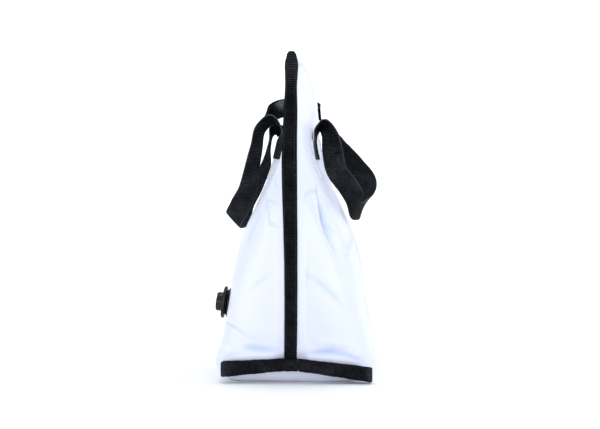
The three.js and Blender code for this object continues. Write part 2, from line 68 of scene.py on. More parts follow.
# Sections of the outside: height, half width, lean of the middle, seam x, seam y, squareness along
# and across, thickness of the sheet
SECTIONS = [
    (0, 112, -1, -9, 312, 14, 14, 8),
    (20, 131, -1, -9, 330, 13, 13, 8),
    (42, 135, -1, -8.8, 336, 10, 9, 8),
    (66, 129, -2, -8, 342, 8, 7, 8),
    (135, 117, -4, -6.6, 358, 6, 5, 8),
    (200, 109.5, -6, -6, 373, 5, 3.6, 8),
    (253, 95, -8, -6, 385, 4, 2.6, 8),
    (310, 71, -9, -6.4, 398, 3, 1.9, 8),
    (375, 41, -9, -6.2, 413, 2.6, 1.5, 8),
    (434, 28, -7, -4, 426, 2.6, 1.4, 8),
    (488, 19, -3.5, -2, 439, 5, 1.6, 7),
    (531, 10, -0.5, -0.5, 450, 30, 3, 5.6),
]

# Broad folds, as in the solids: side, end, reach and height of both ends, width, depth inwards
FOLDS = [
    (1, -1, 30, 335, 92, 185, 17, 6),
    (1, -1, 66, 305, 128, 190, 20, -4),
    (1, -1, 225, 430, 222, 330, 34, 4),
    (1, -1, 40, 52, 118, 70, 15, 3),
    (-1, -1, 42, 300, 96, 190, 22, 4),
    (-1, -1, 208, 455, 206, 328, 36, 12),
    (-1, -1, 130, 470, 130, 345, 85, 13),
    (-1, -1, 285, 430, 285, 340, 40, -6),
    (-1, -1, 128, 96, 50, 62, 14, 3),
    (1, 1, 40, 330, 90, 180, 18, 5),
    (-1, 1, 36, 320, 100, 190, 20, 4),
    (1, -1, 420, 330, 480, 150, 34, 6),
    (1, 1, 400, 340, 360, 170, 30, -4),
    (-1, -1, 440, 330, 400, 160, 34, 6),
    (-1, 1, 390, 320, 420, 170, 30, -4),
    (1, 1, 285, 440, 280, 335, 45, -6),
]

# Creases of the coated sheet: side, width, depth inwards, then (reach, height) along the crease
CREASES = [
    (1, 16, -4.5, [(84, 318), (94, 288), (104, 254), (112, 222)]),
    (1, 8, 3.0, [(16, 300), (22, 310), (34, 317), (60, 321), (88, 322)]),
    (1, 8, 2.0, [(118, 348), (100, 334), (80, 322), (62, 312)]),
    (1, 15, 2.6, [(10, 190), (30, 174), (50, 158), (70, 138), (82, 122)]),
    (1, 6, 1.5, [(17, 245), (18, 180), (18, 120), (19, 70)]),
    (1, 9, 3.4, [(10, 46), (36, 52), (62, 56), (92, 56)]),
    (1, 8, 3.2, [(34, 50), (60, 51), (84, 48), (104, 40), (118, 33)]),
    (1, 10, -3.0, [(48, 66), (84, 63), (112, 58)]),
    (1, 8, 1.8, [(70, 264), (98, 252), (126, 246)]),
    (-1, 6, 2.6, [(49, 297), (51, 291)]),
    (-1, 7, 3.0, [(50, 294), (38, 282), (28, 266)]),
    (-1, 7, 3.2, [(50, 294), (64, 300), (82, 314)]),
    (-1, 7, 2.8, [(85, 310), (55, 306), (28, 302), (8, 299)]),
    (-1, 14, 2.0, [(68, 152), (44, 170), (20, 188)]),
    (-1, 6, 2.4, [(112, 70), (98, 66), (86, 64)]),
    (-1, 7, 3.4, [(50, 345), (62, 332), (78, 325)]),
    (-1, 7, 3.0, [(18, 322), (34, 331), (50, 345)]),
    (-1, 9, 2.8, [(40, 270), (22, 264), (7, 260)]),
    (-1, 6, 3.2, [(196, 104), (150, 99), (96, 94), (80, 86), (66, 78), (48, 71)]),
    (-1, 12, 4.0, [(80, 63), (50, 58), (9, 54)]),
    (-1, 7, 2.0, [(114, 34), (98, 44), (84, 48), (66, 48)]),
    (-1, 8, -1.6, [(120, 56), (96, 62), (74, 60)]),
]

# Tucks with a sharp edge and a slope on its left: side, painted shade beside it, slope at both ends,
# depth, then (reach, height) along the sharp edge
TUCKS = [
    (1, 1.5, 38, 22, 7.0, [
        (76, 342), (71, 328), (61, 308), (60, 290), (59, 275), (58, 253), (66, 237), (86, 206),
    ]),
    (1, 0.7, 24, 40, 4.0, [(90, 206), (140, 219), (220, 228), (320, 236)]),
    (-1, 0.46, 120, 120, 5.0, [(46, 294), (58, 282), (72, 262), (80, 240), (84, 222), (88, 200)]),
    (1, 1.1, 8, 8, 1.6, [(0, 521), (10, 519), (24, 517), (60, 514)]),
    (-1, 0.8, 12, 14, 3.6, [(50, 350), (72, 342), (94, 337), (120, 332)]),
    (-1, 0.8, 14, 16, 3.4, [(104, 335), (160, 329), (236, 324)]),
]
# Raised lips beside creases and tucks, as shares of their depth
CREASE_LIP, TUCK_LIP = 0.22, 0.12
# The hem beside the zip: how proud it stands, its step and its rows of stitches below the edge, and how
# far along the bag the rows run
HEM_PROUD, HEM_STEP, HEM_ROWS, HEM_END = 1.2, (12.4, 11.2), (9.4, 5.2), 436
# Distances over which folds and creases rise beside a seam, and a patch or the drain holds the wall
FOLD_HELD, CREASE_HELD, PATCH_HELD, DRAIN_HELD = (4, 26), (2, 12), (1, 16), (29, 44)
# Fill of the end seams: heights where it starts and stops, spread along the wall
FILL_FROM, FILL_TO, FILL_SPREAD = (30, 56), (470, 510), 15
# Swell of the ends above the base binding and their roll below it: height, spread
SWELL, SWELL_SPREAD, ROLL, ROLL_SPREAD = 44, 17, 5, 11
# Ridge beside the end seams: heights where it starts and stops
RIDGE_FROM, RIDGE_TO = (40, 70), (440, 490)
# Loose sheet: distance from the seams, heights where it starts and stops, reach where its slack grows
LOOSE_IN, LOOSE_FROM, LOOSE_TO, SLACK_FROM = (10, 45), (34, 80), (455, 505), (240, 380)

# How the zip edge wanders along the bag: y, lift, shift to the right; and the heights where that fades in
LIFT_FROM, SHIFT_FROM = (380, 500), (400, 505)
EDGE_WAVE = [
    (-450, 0, 0), (-390, 1.5, 1.6), (-310, 4.4, 3.6), (-200, 5.2, 3.4), (-60, 3, 3.2),
    (80, 1, 4.0), (200, 0, 2.6), (300, -2, 0.5), (400, -3.6, -2.0), (450, -2, -2),
]
# Visible width of the upright bindings: height, width
BINDING_WIDTH = [
    (20, 21), (200, 21.5), (270, 23), (350, 24.5), (420, 22.6), (455, 21), (484, 18.6),
    (504, 19.8), (517, 20.6), (524, 18.8), (527, 16.4), (533, 15.8), (540, 14.5),
]
# Upright binding: start, top above the zip edge, stretch that rounds off, stretch that narrows
BINDING_LOW, BINDING_RISE, BINDING_ROUND, BINDING_PINCH = 37.0, 6, 12, 9
# Its gathered ribs: length over a turn, heights where they start and where their crests get a painted
# highlight
RIB_RUN, RIB_FROM, RIB_HIGHLIGHT_FROM = 0.6, (470, 505), (455, 515)
# Lap of the base binding over the upright one: middle, half width, its two edges, how soft they are
LAP, LAP_HALF, LAP_EDGES, LAP_SOFT = -8, 11.5, (-20.5, 4.2), 1.7
# Middle line of the base bindings: x, z, thickness
BASE_LINE = {
    "near": [(-125, 21.9, 26.4), (-66, 26.6, 23), (-8, 30, 20.6), (58, 23, 22.4), (125, 13.6, 24.4)],
    "far": [(-125, 15, 24), (-64, 23, 22), (-8, 29, 21), (50, 24, 22), (125, 16, 24)],
}

# Free stretch of each carry handle: place of the middle, then the direction across the webbing
HANDLE_PATHS = {
    "left": [
        (-35, -178, 437, -0.05, -0.98, 0.15), (-52, -175, 449, -0.12, -0.88, 0.46),
        (-72, -171, 433, -0.32, -0.9, 0.3), (-80, -165, 400, -0.5, -0.86, 0.08),
        (-89, -157, 362, -0.66, -0.74, 0.1), (-98, -147, 325, -0.72, -0.6, 0.3),
        (-115, -123, 293, -0.72, -0.25, 0.65), (-130, -88, 272, -0.68, 0, 0.73),
        (-127, 0, 269, -0.68, 0, 0.73), (-128, 88, 276, -0.68, 0, 0.73),
        (-125, 122, 304, -0.72, -0.25, 0.55), (-106, 142, 340, -0.66, -0.65, 0.25),
        (-87, 148, 379, -0.45, -0.88, 0.05), (-80, 150, 420, -0.05, -0.95, 0.2),
        (-71, 150, 450, 0, -0.78, 0.62), (-50, 150, 447, 0, -0.82, 0.56),
    ],
    "right": [
        (28, -158, 430, -0.05, -0.93, 0.36), (39, -157, 442, 0.3, -0.82, 0.48),
        (52, -155, 424, 0.66, -0.63, 0.4), (56, -150, 397, 0.88, -0.25, 0.4),
        (63.5, -144, 360, 0.92, 0.05, 0.44), (84, -138, 331, 0.86, 0, 0.52),
        (95.5, -122, 311, 0.74, 0, 0.67), (97, -90, 292, 0.52, 0, 0.85),
        (105, 0, 287, 0.4, 0, 0.92), (112, 84, 294, 0.4, 0, 0.92),
        (120, 118, 314, 0.65, -0.25, 0.7), (120, 136, 347, 0.75, -0.15, 0.62),
        (95, 145, 380, 0.74, -0.25, 0.6), (69, 149, 414, 0.6, -0.65, 0.35),
        (55, 150, 443, 0.1, -1, 0), (37, 150, 441, 0, -1, 0),
    ],
}
# Stretches of each strap inside its bends with painted shade, a deeper black: share, width, how much
BEND_SHADE = {
    "left": [(0.095, 0.035, 0.75), (0.875, 0.045, 0.85)],
    "right": [(0.055, 0.06, 0.85), (0.42, 0.115, 0.9)],
    "end": [(0.66, 0.09, 0.95), (0.88, 0.05, 0.9)],
}
# Painted highlight on the end loop: share, width
LOOP_HIGHLIGHT = [(0.79, 0.03)]
END_LOOP_PATH = [
    (16.8, 396, 498, -0.1, 0, 1), (14.2, 432, 504, -0.05, 0, 1),
    (12, 460, 512, 0, 0, 1), (-2, 486, 520, 0, 0, 1),
    (-38, 490, 525, 0.1, 0, 1), (-75, 478, 524, 0.2, 0, 1),
    (-105, 454, 509, 0.38, -0.1, 0.92), (-113, 424, 493, 0.55, -0.1, 0.83),
    (-99, 400, 497, 0.5, 0, 0.86), (-70, 386, 513, 0.2, 0, 1),
    (-42, 384, 515, 0, 0, 1), (-22, 398, 511, -0.05, 0, 1),
    (-17, 430, 513, -0.05, 0, 1),
]

# Zip: section of the tape, outline of a tooth, and its levels with the size there
ZIP_HALF, TEETH_HALF, TOOTH_PITCH = 428, 420, 3.0
ZIP_TAPE = [(-4.6, -7.5), (-4.3, -4.2), (-2.4, -3.6), (0, -3.5), (2.4, -3.6), (4.3, -4.2), (4.6, -7.5)]
TOOTH_RING = np.array([(-1.7, -0.62), (1.5, -0.62), (1.9, 0), (1.5, 0.62), (-1.7, 0.62), (-2.0, 0)])
TOOTH_LEVELS = np.array([(-3.4, 1.0), (-1.9, 1.0), (-1.3, 0.72)])
# Slider and pull: place along the zip, height over it, size, bend of the edges, tilt, taper
SLIDER_PLACE = -395.0
SLIDER = [
    (0, 1.7, (11, 16, 3.0), 1.1, 0.0, 0.82),
    (-1, 4.3, (3.2, 9, 2.6), 1.0, 0.0, 1.0),
    (17, 4.8, (6.4, 26, 1.7), 0.7, 0.02, 1.25),
    (27, 5.1, (5.0, 5, 2.4), 0.9, 0.0, 1.0),
]

# Drain, turned about its own axis: radius, distance out from the wall
DRAIN_FLANGE = [
    (8, -16), (11, -16), (11, 0.6), (26, 0.6), (26, 2.6), (24.6, 3.6), (21.6, 4.6), (21.5, 6.3), (8, 6.3),
]
DRAIN_RING = [
    (12, 6.7), (26.4, 6.7), (28, 8), (28, 11.2), (26.6, 12.4), (20.6, 12.4), (20, 11.6), (18, 11.6),
    (17.4, 12.2), (12, 12.2),
]
DRAIN_KNOB = [
    (0, 7.6), (10.6, 7.6), (11.4, 8.4), (11.4, 12.8), (16, 12.8), (16.6, 13.6), (16.6, 21.4),
    (15, 23.4), (12.4, 23.6), (11.8, 22.8), (10.6, 22.8), (10, 23.5), (0, 24),
]
# Bend of the drain's edges; knurls of the ring and grips of the knob: how many, how deep
DRAIN_BEND = 0.5
KNURLS, KNURL_DEPTH = 44, 0.45
GRIPS, GRIP_DEPTH = 10, 1.5

# Room, in metres and degrees. Floor: half width, front, start and radius of its bend, top, gap above it
FLOOR_HALF, FLOOR_FRONT, FLOOR_BACK, FLOOR_BEND, FLOOR_TOP, FLOOR_GAP = 7.0, -6.0, 3.2, 2.6, 6.4, 0.0006
SKY, SKY_STRENGTH = (0.78, 0.88, 1.0, 1), 0.52
EYE, EYE_TURN, LENS = (0.115, -2.55, 0.28), 2.80, 79.74
WARM, PALE = (1.0, 0.985, 0.955), (1.0, 0.99, 0.97)
# Lights: place, aim, width and height, watts, colour
LIGHTS = {
    "front_light": ((0.2, -3.8, 0.8), (0, 0, 0.2), (3.2, 1.8), 37, WARM),
    "low_light": ((0.1, -2.9, 0.22), (0, -0.3, 0.03), (2.4, 0.36), 6.5, WARM),
    "left_light": ((-3.2, -0.8, 1.6), (0, 0, 0.25), (2.0, 2.0), 22, PALE),
    "right_light": ((3.2, -0.6, 1.6), (0, 0, 0.25), (2.0, 2.0), 22, PALE),
    "top_light": ((0.2, 1.2, 4.2), (0.2, 1.2, 0), (6.0, 6.0), 172, (1.0, 0.985, 0.95)),
    "back_light": ((0.2, 2.0, 3.6), (0.2, 5.8, 1.0), (6.0, 2.0), 120, PALE),
}


def smooth(value, low, high):
    """Eases from 0 at low to 1 at high."""
    t = np.clip((value - low) / (high - low), 0, 1)
    return t * t * (3 - 2 * t)


def unit(vectors):
    return vectors / np.maximum(1e-9, np.linalg.norm(vectors, axis=-1, keepdims=True))


def band(value, start, stop):
    """1 between a ramp up and a ramp down."""
    return smooth(value, *start) * (1 - smooth(value, *stop))


def bell(value, width, power=2):
    """1 at 0, falling away over a width."""
    return np.exp(-((value / width) ** power))


def run_along(points):
    """Distance along a line of points, from its first one."""
    return np.concatenate([[0], np.cumsum(np.linalg.norm(np.diff(points, axis=0), axis=1))])


def read_line(at, run, values):
    """Values of points along a line, at distances along it."""
    return np.stack([np.interp(at, run, column) for column in np.asarray(values).T], -1)


def quads(count, columns):
    """Faces of a grid of points, row by row."""
    a = (np.arange(count - 1)[:, None] * columns + np.arange(columns - 1)).ravel()
    return np.stack([a, a + 1, a + columns + 1, a + columns], 1)


def read_table(rows, at):
    """Columns of a table at values of its first column, on a smooth curve."""
    table = np.array(rows, float)
    keys, values = table[:, 0], table[:, 1:]
    at = np.clip(np.asarray(at, float), keys[0], keys[-1])
    last = len(keys) - 1
    i1 = np.clip(np.searchsorted(keys, at, side="right"), 1, last)
    i0 = i1 - 1
    before = np.where(i0 > 0, i0 - 1, i1)
    after = np.where(i1 < last, i1 + 1, i0)
    t0, t1 = keys[i0], keys[i1]
    half = 0.5 * (t1 - t0)
    wp = half / (t0 - keys[before])
    wn = half / (keys[after] - t1)
    p = (at - t0) / (t1 - t0)
    weights = [
        (before, -wp * p**3 + 2 * wp * p**2 - wp * p),
        (i0, (1 + wp) * p**3 + (-1.5 - 2 * wp) * p**2 + (-0.5 + wp) * p + 1),
        (i1, (-1 - wn) * p**3 + (1.5 + wn) * p**2 + 0.5 * p),
        (after, wn * p**3 - wn * p**2),
    ]
    return np.moveaxis(sum(w[..., None] * values[i] for i, w in weights), -1, 0)


def curve(points, shares):
    """A centripetal spline through points, at shares of it from 0 to 1."""
    points = np.asarray(points, float)
    held = np.vstack([2 * points[0] - points[1], points, 2 * points[-1] - points[-2]])
    at = np.asarray(shares, float) * (len(points) - 1)
    i = np.clip(at.astype(int), 0, len(points) - 2)
    w = (at - i)[:, None]
    p0, p1, p2, p3 = (held[i + k] for k in range(4))
    d0, d1, d2 = (np.sum((b - a) ** 2, 1)[:, None] ** 0.25 for a, b in ((p0, p1), (p1, p2), (p2, p3)))
    d1 = np.where(d1 < 1e-4, 1, d1)
    d0 = np.where(d0 < 1e-4, d1, d0)
    d2 = np.where(d2 < 1e-4, d1, d2)
    t1 = ((p1 - p0) / d0 - (p2 - p0) / (d0 + d1) + (p2 - p1) / d1) * d1
    t2 = ((p2 - p1) / d1 - (p3 - p1) / (d1 + d2) + (p3 - p2) / d2) * d1
    c2 = -3 * p1 + 3 * p2 - 2 * t1 - t2
    c3 = 2 * p1 - 2 * p2 + t1 + t2
    return p1 + t1 * w + c2 * w**2 + c3 * w**3


class Shape:
    """Points, four-sided faces and a flat map in millimetres, gathered grid by grid."""

    def __init__(self):
        self.points, self.faces, self.maps, self.marks = [], [], [], []
        self.count = 0

    def add(self, points, faces, maps, marks):
        self.points.append(points.reshape(-1, 3))
        self.faces.append(faces + self.count)
        self.maps.append(maps)
        self.marks.append(marks)
        self.count += len(self.points[-1])

    def grid(self, rows, u, v, marks=0.0):
        """Rows of points placed by u and v on the flat map; marks give painted shade, highlights or wear.
        """
        rows = np.asarray(rows, float)
        faces = quads(*rows.shape[:2])
        u, v, marks = (np.broadcast_to(item, rows.shape[:2]).ravel() for item in (u, v, marks))
        self.add(rows, faces, np.stack([u, v], 1)[faces], marks)

    def ladder(self, one, other):
        """Closes the space between two lines of points of equal length."""
        self.grid([one, other], run_along(one), [[0.0], [2.0]])

    def close(self, *rows):
        """Closes ends of a tube whose outline runs out along one face and back along the other."""
        for row in rows:
            half = len(row) // 2
            self.ladder(row[:half], row[half:-1][::-1])

    def prisms(self, points, capped):
        """Many small six-sided prisms, as rings of points; the rings named are capped."""
        count, rings = points.shape[:2]
        ring, spoke = np.meshgrid(np.arange(rings - 1), np.arange(6), indexing="ij")
        a, b = ring * 6 + spoke, ring * 6 + (spoke + 1) % 6
        cap = np.array([[0, 1, 2, 3], [0, 3, 4, 5]])
        sides = np.stack([a, b, b + 6, a + 6], -1).reshape(-1, 4)
        one = np.concatenate([sides, *(cap + 6 * k for k in capped)])
        faces = (np.arange(count)[:, None, None] * 6 * rings + one).reshape(-1, 4)
        self.add(points, faces, np.zeros((len(faces), 4, 2)), np.zeros(count * rings * 6))

    def build(self, name, look, slot, weld=0.02, sharp=None, body="bag", nodes=()):
        mesh = bpy.data.meshes.new(name)
        points = np.concatenate(self.points) * MM
        mesh.from_pydata(points.tolist(), [], np.concatenate(self.faces).tolist())
        maps = np.concatenate(self.maps).reshape(-1, 2) * MM
        mesh.uv_layers.new(name="UVMap").data.foreach_set("uv", maps.astype(np.float32).ravel())
        # Per-point marks: painted shade on the sheet, painted highlights and bend shade on webbing, wear
        # at base binding ends
        marks = mesh.attributes.new("painted_light_and_wear", "FLOAT", "POINT")
        marks.data.foreach_set("value", np.concatenate(self.marks).astype(np.float32))
        edit = bmesh.new()
        edit.from_mesh(mesh)
        if weld:
            bmesh.ops.remove_doubles(edit, verts=edit.verts, dist=weld * MM)
        bmesh.ops.recalc_face_normals(edit, faces=edit.faces)
        edit.to_mesh(mesh)
        edit.free()
        mesh.shade_smooth()
        if sharp:
            mesh.set_sharp_from_angle(angle=math.radians(sharp))
        mesh.materials.append(look)
        made = bpy.data.objects.new(name, mesh)
        bpy.context.scene.collection.objects.link(made)
        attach(made, body)
        if nodes:
            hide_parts(*nodes)
        return made


# Materials

# Pitch of the sheet's woven core and of the yarns of webbing, and colours of painted shade in creases and
# deep folds
CORE_PITCH, YARN_PITCH = 0.0021, 0.0016
FOLD_SHADE_BLUE, FOLD_SHADE_GREY = (0.56, 0.68, 0.95, 1), (0.36, 0.37, 0.40, 1)
STRAP_EDGE = STRAP_WIDTH / 2 * MM


class Look:
    """A node material with a few short ways to write its nodes."""

    def __init__(self, name):
        self.material = bpy.data.materials.new(name)
        self.material.use_nodes = True
        self.tree = self.material.node_tree
        self.shader = self.tree.nodes["Principled BSDF"]
        self.place = self.node("TexCoord").outputs["Object"]

    def node(self, kind, inputs=None, **settings):
        made = self.tree.nodes.new("ShaderNode" + kind)
        for key, value in settings.items():
            setattr(made, key, value)
        for key, value in (inputs or {}).items():
            self.put(made.inputs[key], value)
        return made

    def put(self, socket, value):
        if isinstance(value, bpy.types.NodeSocket):
            self.tree.links.new(value, socket)
        else:
            socket.default_value = value

    def op(self, operation, *values):
        return self.node("Math", dict(enumerate(values)), operation=operation).outputs[0]

    def wave(self, value, turn):
        return self.op("SINE", self.op("MULTIPLY", value, turn))

    def mix(self, share, one, other):
        return self.node("Mix", {0: share, 6: one, 7: other}, data_type="RGBA").outputs[2]

    def ease(self, value, low, high, to_low=0.0, to_high=1.0):
        inputs = dict(enumerate((value, low, high, to_low, to_high)))
        return self.node("MapRange", inputs, interpolation_type="SMOOTHSTEP").outputs[0]

    def noise(self, scale, detail=3.0, rough=0.55, stretch=None):
        place = self.place
        if stretch is not None:
            place = self.node("Mapping", {"Vector": place, "Scale": stretch}).outputs[0]
        inputs = {"Vector": place, "Scale": scale, "Detail": detail, "Roughness": rough}
        return self.node("TexNoise", inputs).outputs["Fac"]

    def bump(self, height, strength, distance, normal=None):
        inputs = {"Height": height, "Strength": strength, "Distance": distance}
        if normal is not None:
            inputs["Normal"] = normal
        return self.node("Bump", inputs).outputs[0]

    def flat(self):
        place = self.node("UVMap", uv_map="UVMap").outputs[0]
        parts = self.node("SeparateXYZ", {0: place})
        return parts.outputs[0], parts.outputs[1]

    def mark(self):
        return self.node("Attribute", attribute_name="painted_light_and_wear").outputs["Fac"]

    def set(self, **values):
        for key, value in values.items():
            self.put(self.shader.inputs[key.replace("_", " ")], value)


def coated_sheet(name, base, shade):
    """White coated sheet: woven core, soft grain, colour drift; painted shade, blue then grey, where
    marked.
    """
    look = Look(name)
    u, v = look.flat()
    turn = 2 * math.pi / CORE_PITCH
    core = look.op("MULTIPLY", look.wave(u, turn), look.wave(v, turn))
    grain = look.noise(900.0, 2.0)
    cloud = look.noise(38.0, 4.0)
    painted_light_and_wear = look.mark()
    tone = look.mix(look.ease(look.noise(5.0), 0.3, 0.7), base, shade)
    tone = look.mix(look.ease(cloud, 0.45, 0.8, 0.0, 0.3), tone, shade)
    # Painted shade where marked: blue in creases, beside tucks and along patch edges
    tone = look.mix(look.ease(painted_light_and_wear, 0.05, 0.65, 0.0, 0.85), tone, FOLD_SHADE_BLUE)
    # Grey painted shade where the marks are strongest, broken up by the cloud
    shade_sheen_and_wear = look.ease(painted_light_and_wear, 0.5, 1.0, 0.0, 0.8)
    shade_sheen_and_wear = look.op("MULTIPLY", shade_sheen_and_wear, look.ease(cloud, 0.3, 0.7, 0.6, 1.0))
    height = look.op("ADD", look.op("MULTIPLY", core, 0.35), look.op("MULTIPLY", grain, 0.5))
    fine = look.bump(height, 0.10, 0.0004)
    look.set(
        Base_Color=look.mix(shade_sheen_and_wear, tone, FOLD_SHADE_GREY),
        Roughness=look.ease(cloud, 0.2, 0.8, 0.36, 0.50),
        Normal=look.bump(look.noise(30.0, 3.0, 0.5, (1.0, 0.7, 1.3)), 0.16, 0.004, fine),
        Specular_IOR_Level=0.45,
        Coat_Weight=0.12,
        Coat_Roughness=0.28,
    )
    return look.material


def dark(value):
    """A dark cloth colour, slightly blue."""
    return (0.93 * value, value, 1.14 * value, 1)


def webbing_look(name, pitch, low, high, edge_half=None, gloss=0.08, shine=1.8):
    """Black webbing: ribs, yarns, fuzz, lint; painted highlights or wear where marked, painted shade in
    bends, paler edges.
    """
    look = Look(name)
    u, v = look.flat()
    wander = look.op("MULTIPLY", look.op("SUBTRACT", look.noise(60.0, 2.0), 0.5), pitch * 0.9)
    rib = look.op("ABSOLUTE", look.wave(look.op("ADD", u, wander), math.pi / pitch))
    yarn = look.op("ABSOLUTE", look.wave(v, math.pi / YARN_PITCH))
    fuzz = look.noise(1500.0, 2.0, 0.7)
    fleck = look.noise(260.0, 3.0, 0.6)
    worn = look.noise(26.0, 4.0, 0.6)
    lint = look.noise(620.0, 1.0)
    painted_light_and_wear_mark = look.mark()
    soft = look.op("ADD", look.op("MULTIPLY", yarn, 0.30), look.op("MULTIPLY", fuzz, 0.35))
    height = look.op("ADD", rib, soft)
    # Painted highlight on the end loop and on the end bindings' rib crests; wear at the base binding ends
    shade_sheen_and_wear = look.op("MULTIPLY", look.ease(painted_light_and_wear_mark, 0.0, 1.0), look.ease(fleck, 0.3, 0.7, 0.4, 0.95))
    tone = look.mix(look.ease(height, 0.40, 1.40), dark(low), dark(high))
    layers = [
        (look.ease(fleck, 0.40, 0.72, 0.0, 0.5), 1.7 * high),
        (look.ease(worn, 0.36, 0.66, 0.55, 0.0), low),
        (look.ease(lint, 0.74, 0.80, 0.0, 0.6), 6 * high),
        # painted shade inside strap bends
        (look.ease(painted_light_and_wear_mark, 0.0, -1.0, 0.0, 0.9), 0.5 * low),
        # painted highlight and wear where marked
        (shade_sheen_and_wear, shine * high),
    ]
    if edge_half:
        # Paler edges: partly selvedge wear, partly a painted highlight where the edges catch light
        from_middle = look.op("ABSOLUTE", v)
        near_edge = look.ease(from_middle, edge_half - 0.0018, edge_half + 0.0002, 0.0, 0.7)
        layers.append((near_edge, 3.6 * high))
    for share, value in layers:
        tone = look.mix(share, tone, dark(value))
    look.set(
        Base_Color=tone,
        Roughness=look.ease(fuzz, 0.2, 0.9, 0.58, 0.84),
        Normal=look.bump(height, 0.9, 0.0008),
        Specular_IOR_Level=gloss,
        Sheen_Weight=0.003,
        Sheen_Roughness=0.45,
    )
    return look.material


def moulded_look(name, tone, pale, rough):
    """Moulded plastic: faint flow marks, fine scratches and handled gloss."""
    look = Look(name)
    scratch = look.noise(420.0, 4.0, 0.6, (1.0, 6.0, 0.7))
    look.set(
        Base_Color=look.mix(look.ease(look.noise(70.0), 0.35, 0.8, 0.0, 0.6), tone, pale),
        Roughness=look.ease(scratch, 0.35, 0.75, rough, rough + 0.16),
        Normal=look.bump(scratch, 0.05, 0.0003),
        Specular_IOR_Level=0.3,
    )
    return look.material


def thread_look(name, tone, pale):
    """Twisted sewing thread."""
    look = Look(name)
    twist = look.noise(1400.0, 2.0)
    look.set(
        Base_Color=look.mix(look.ease(twist, 0.3, 0.75), tone, pale),
        Roughness=look.ease(twist, 0.2, 0.8, 0.5, 0.75),
        Normal=look.bump(twist, 0.4, 0.0002),
    )
    return look.material


SHEET = coated_sheet("white_coated_sheet", (0.815, 0.838, 0.985, 1), (0.775, 0.808, 0.975, 1))
# Paler than the sheet: painted light offsetting the shade the straps cast on the patches
PATCH_SHEET_LIT = coated_sheet("white_patch_sheet_lit", (0.86, 0.875, 0.985, 1), (0.82, 0.845, 0.975, 1))
STRAP_WEB = webbing_look("black_strap_webbing", 0.0038, 0.0004, 0.033, STRAP_EDGE, gloss=0.012)
# Darker than the strap webbing: painted shade on the end loop, seen mostly inside its bend
LOOP_WEB_SHADED = webbing_look("black_loop_webbing_shaded", 0.0034, 0.0004, 0.014, STRAP_EDGE, gloss=0.006, shine=12.0)
TAPE_WEB = webbing_look("black_binding_webbing", 0.0026, 0.0009, 0.0135, gloss=0.012, shine=3.2)
BASE_WEB = webbing_look("black_base_webbing", 0.0030, 0.0008, 0.023, gloss=0.012)
GLOSS = moulded_look("black_moulded_plastic", dark(0.003), dark(0.009), 0.16)
ZIP_WEB = webbing_look("grey_zip_tape", 0.0014, 0.02, 0.06)
TOOTH = moulded_look("dark_zip_teeth", dark(0.0125), dark(0.031), 0.32)
BLACK_THREAD = thread_look("black_thread", dark(0.006), dark(0.03))
WHITE_THREAD = thread_look("white_thread", (0.50, 0.52, 0.56, 1), (0.78, 0.80, 0.84, 1))

# Walls of the bag

# Slack padded sheet: how it is set up as cloth, steps, and the most that a place may move
CLOTH = {
    "quality": 6,
    "mass": 0.25,
    "tension_stiffness": 18.0,
    "compression_stiffness": 18.0,
    "shear_stiffness": 8.0,
    "bending_stiffness": 1.2,
    "air_damping": 3.0,
    "shrink_min": -0.03,
    "use_pressure": True,
    "uniform_pressure_force": 0.12,
}
CLOTH_FRAMES = 30
CLOTH_MOST = 7.0
CLOTH_GRID = (62, 116)
CLOTH_BROAD = 50

ROWS = np.concatenate([np.linspace(0, 500, 146), np.linspace(501.2, 528.2, 24)])
COLUMNS = 300


def spread(columns):
    even = np.linspace(0, 1, columns + 1)
    return 0.55 * even + 0.45 * (0.5 - 0.5 * np.cos(math.pi * even))


def nearest(line, reach, height):
    """How far each place is from a line on the wall, on which hand of it, and the share along it."""
    away = np.full(reach.shape, 1e9)
    hand, along = np.zeros_like(reach), np.zeros_like(reach)
    last = len(line) - 1
    for k in range(last):
        (reach_a, height_a), (reach_b, height_b) = line[k], line[k + 1]
        run, rise = reach_b - reach_a, height_b - height_a
        du, dv = reach - reach_a, height - height_a
        share = np.clip((du * run + dv * rise) / (run**2 + rise**2), 0, 1)
        off = np.hypot(du - share * run, dv - share * rise)
        closer = off < away
        away = np.where(closer, off, away)
        hand = np.where(closer, np.sign(run * dv - rise * du), hand)
        along = np.where(closer, (k + share) / last, along)
    return away, hand, along


def on_side(table, side):
    """Rows of a table for one side, without that column."""
    return [row[1:] for row in table if row[0] == side]


def fold_depth(side, reach, length, height):
    """How far the broad folds push a wall in."""
    depth = np.zeros_like(reach)
    for end, reach_a, height_a, reach_b, height_b, width, deep in on_side(FOLDS, side):
        near = reach if end < 0 else length - reach
        away, _, along = nearest([(reach_a, height_a), (reach_b, height_b)], near, height)
        depth += deep * (0.35 + 0.65 * np.sin(math.pi * along)) * bell(away, width)
    return depth * smooth(np.minimum(reach, length - reach), *FOLD_HELD)


def crease_depth(side, reach, length, height):
    """Sharper creases with a slightly raised lip."""
    depth = np.zeros_like(reach)
    for width, deep, line in on_side(CREASES, side):
        away, _, along = nearest(line, reach, height)
        taper = np.sin(math.pi * np.clip(0.08 + 0.84 * along, 0, 1))
        valley = 1 / (1 + (away / (0.55 * width)) ** 2) ** 1.5
        lip = bell(away - 1.9 * width, 0.9 * width)
        depth += deep * taper * (valley - CREASE_LIP * lip)
    return depth * smooth(np.minimum(reach, length - reach), *CREASE_HELD)


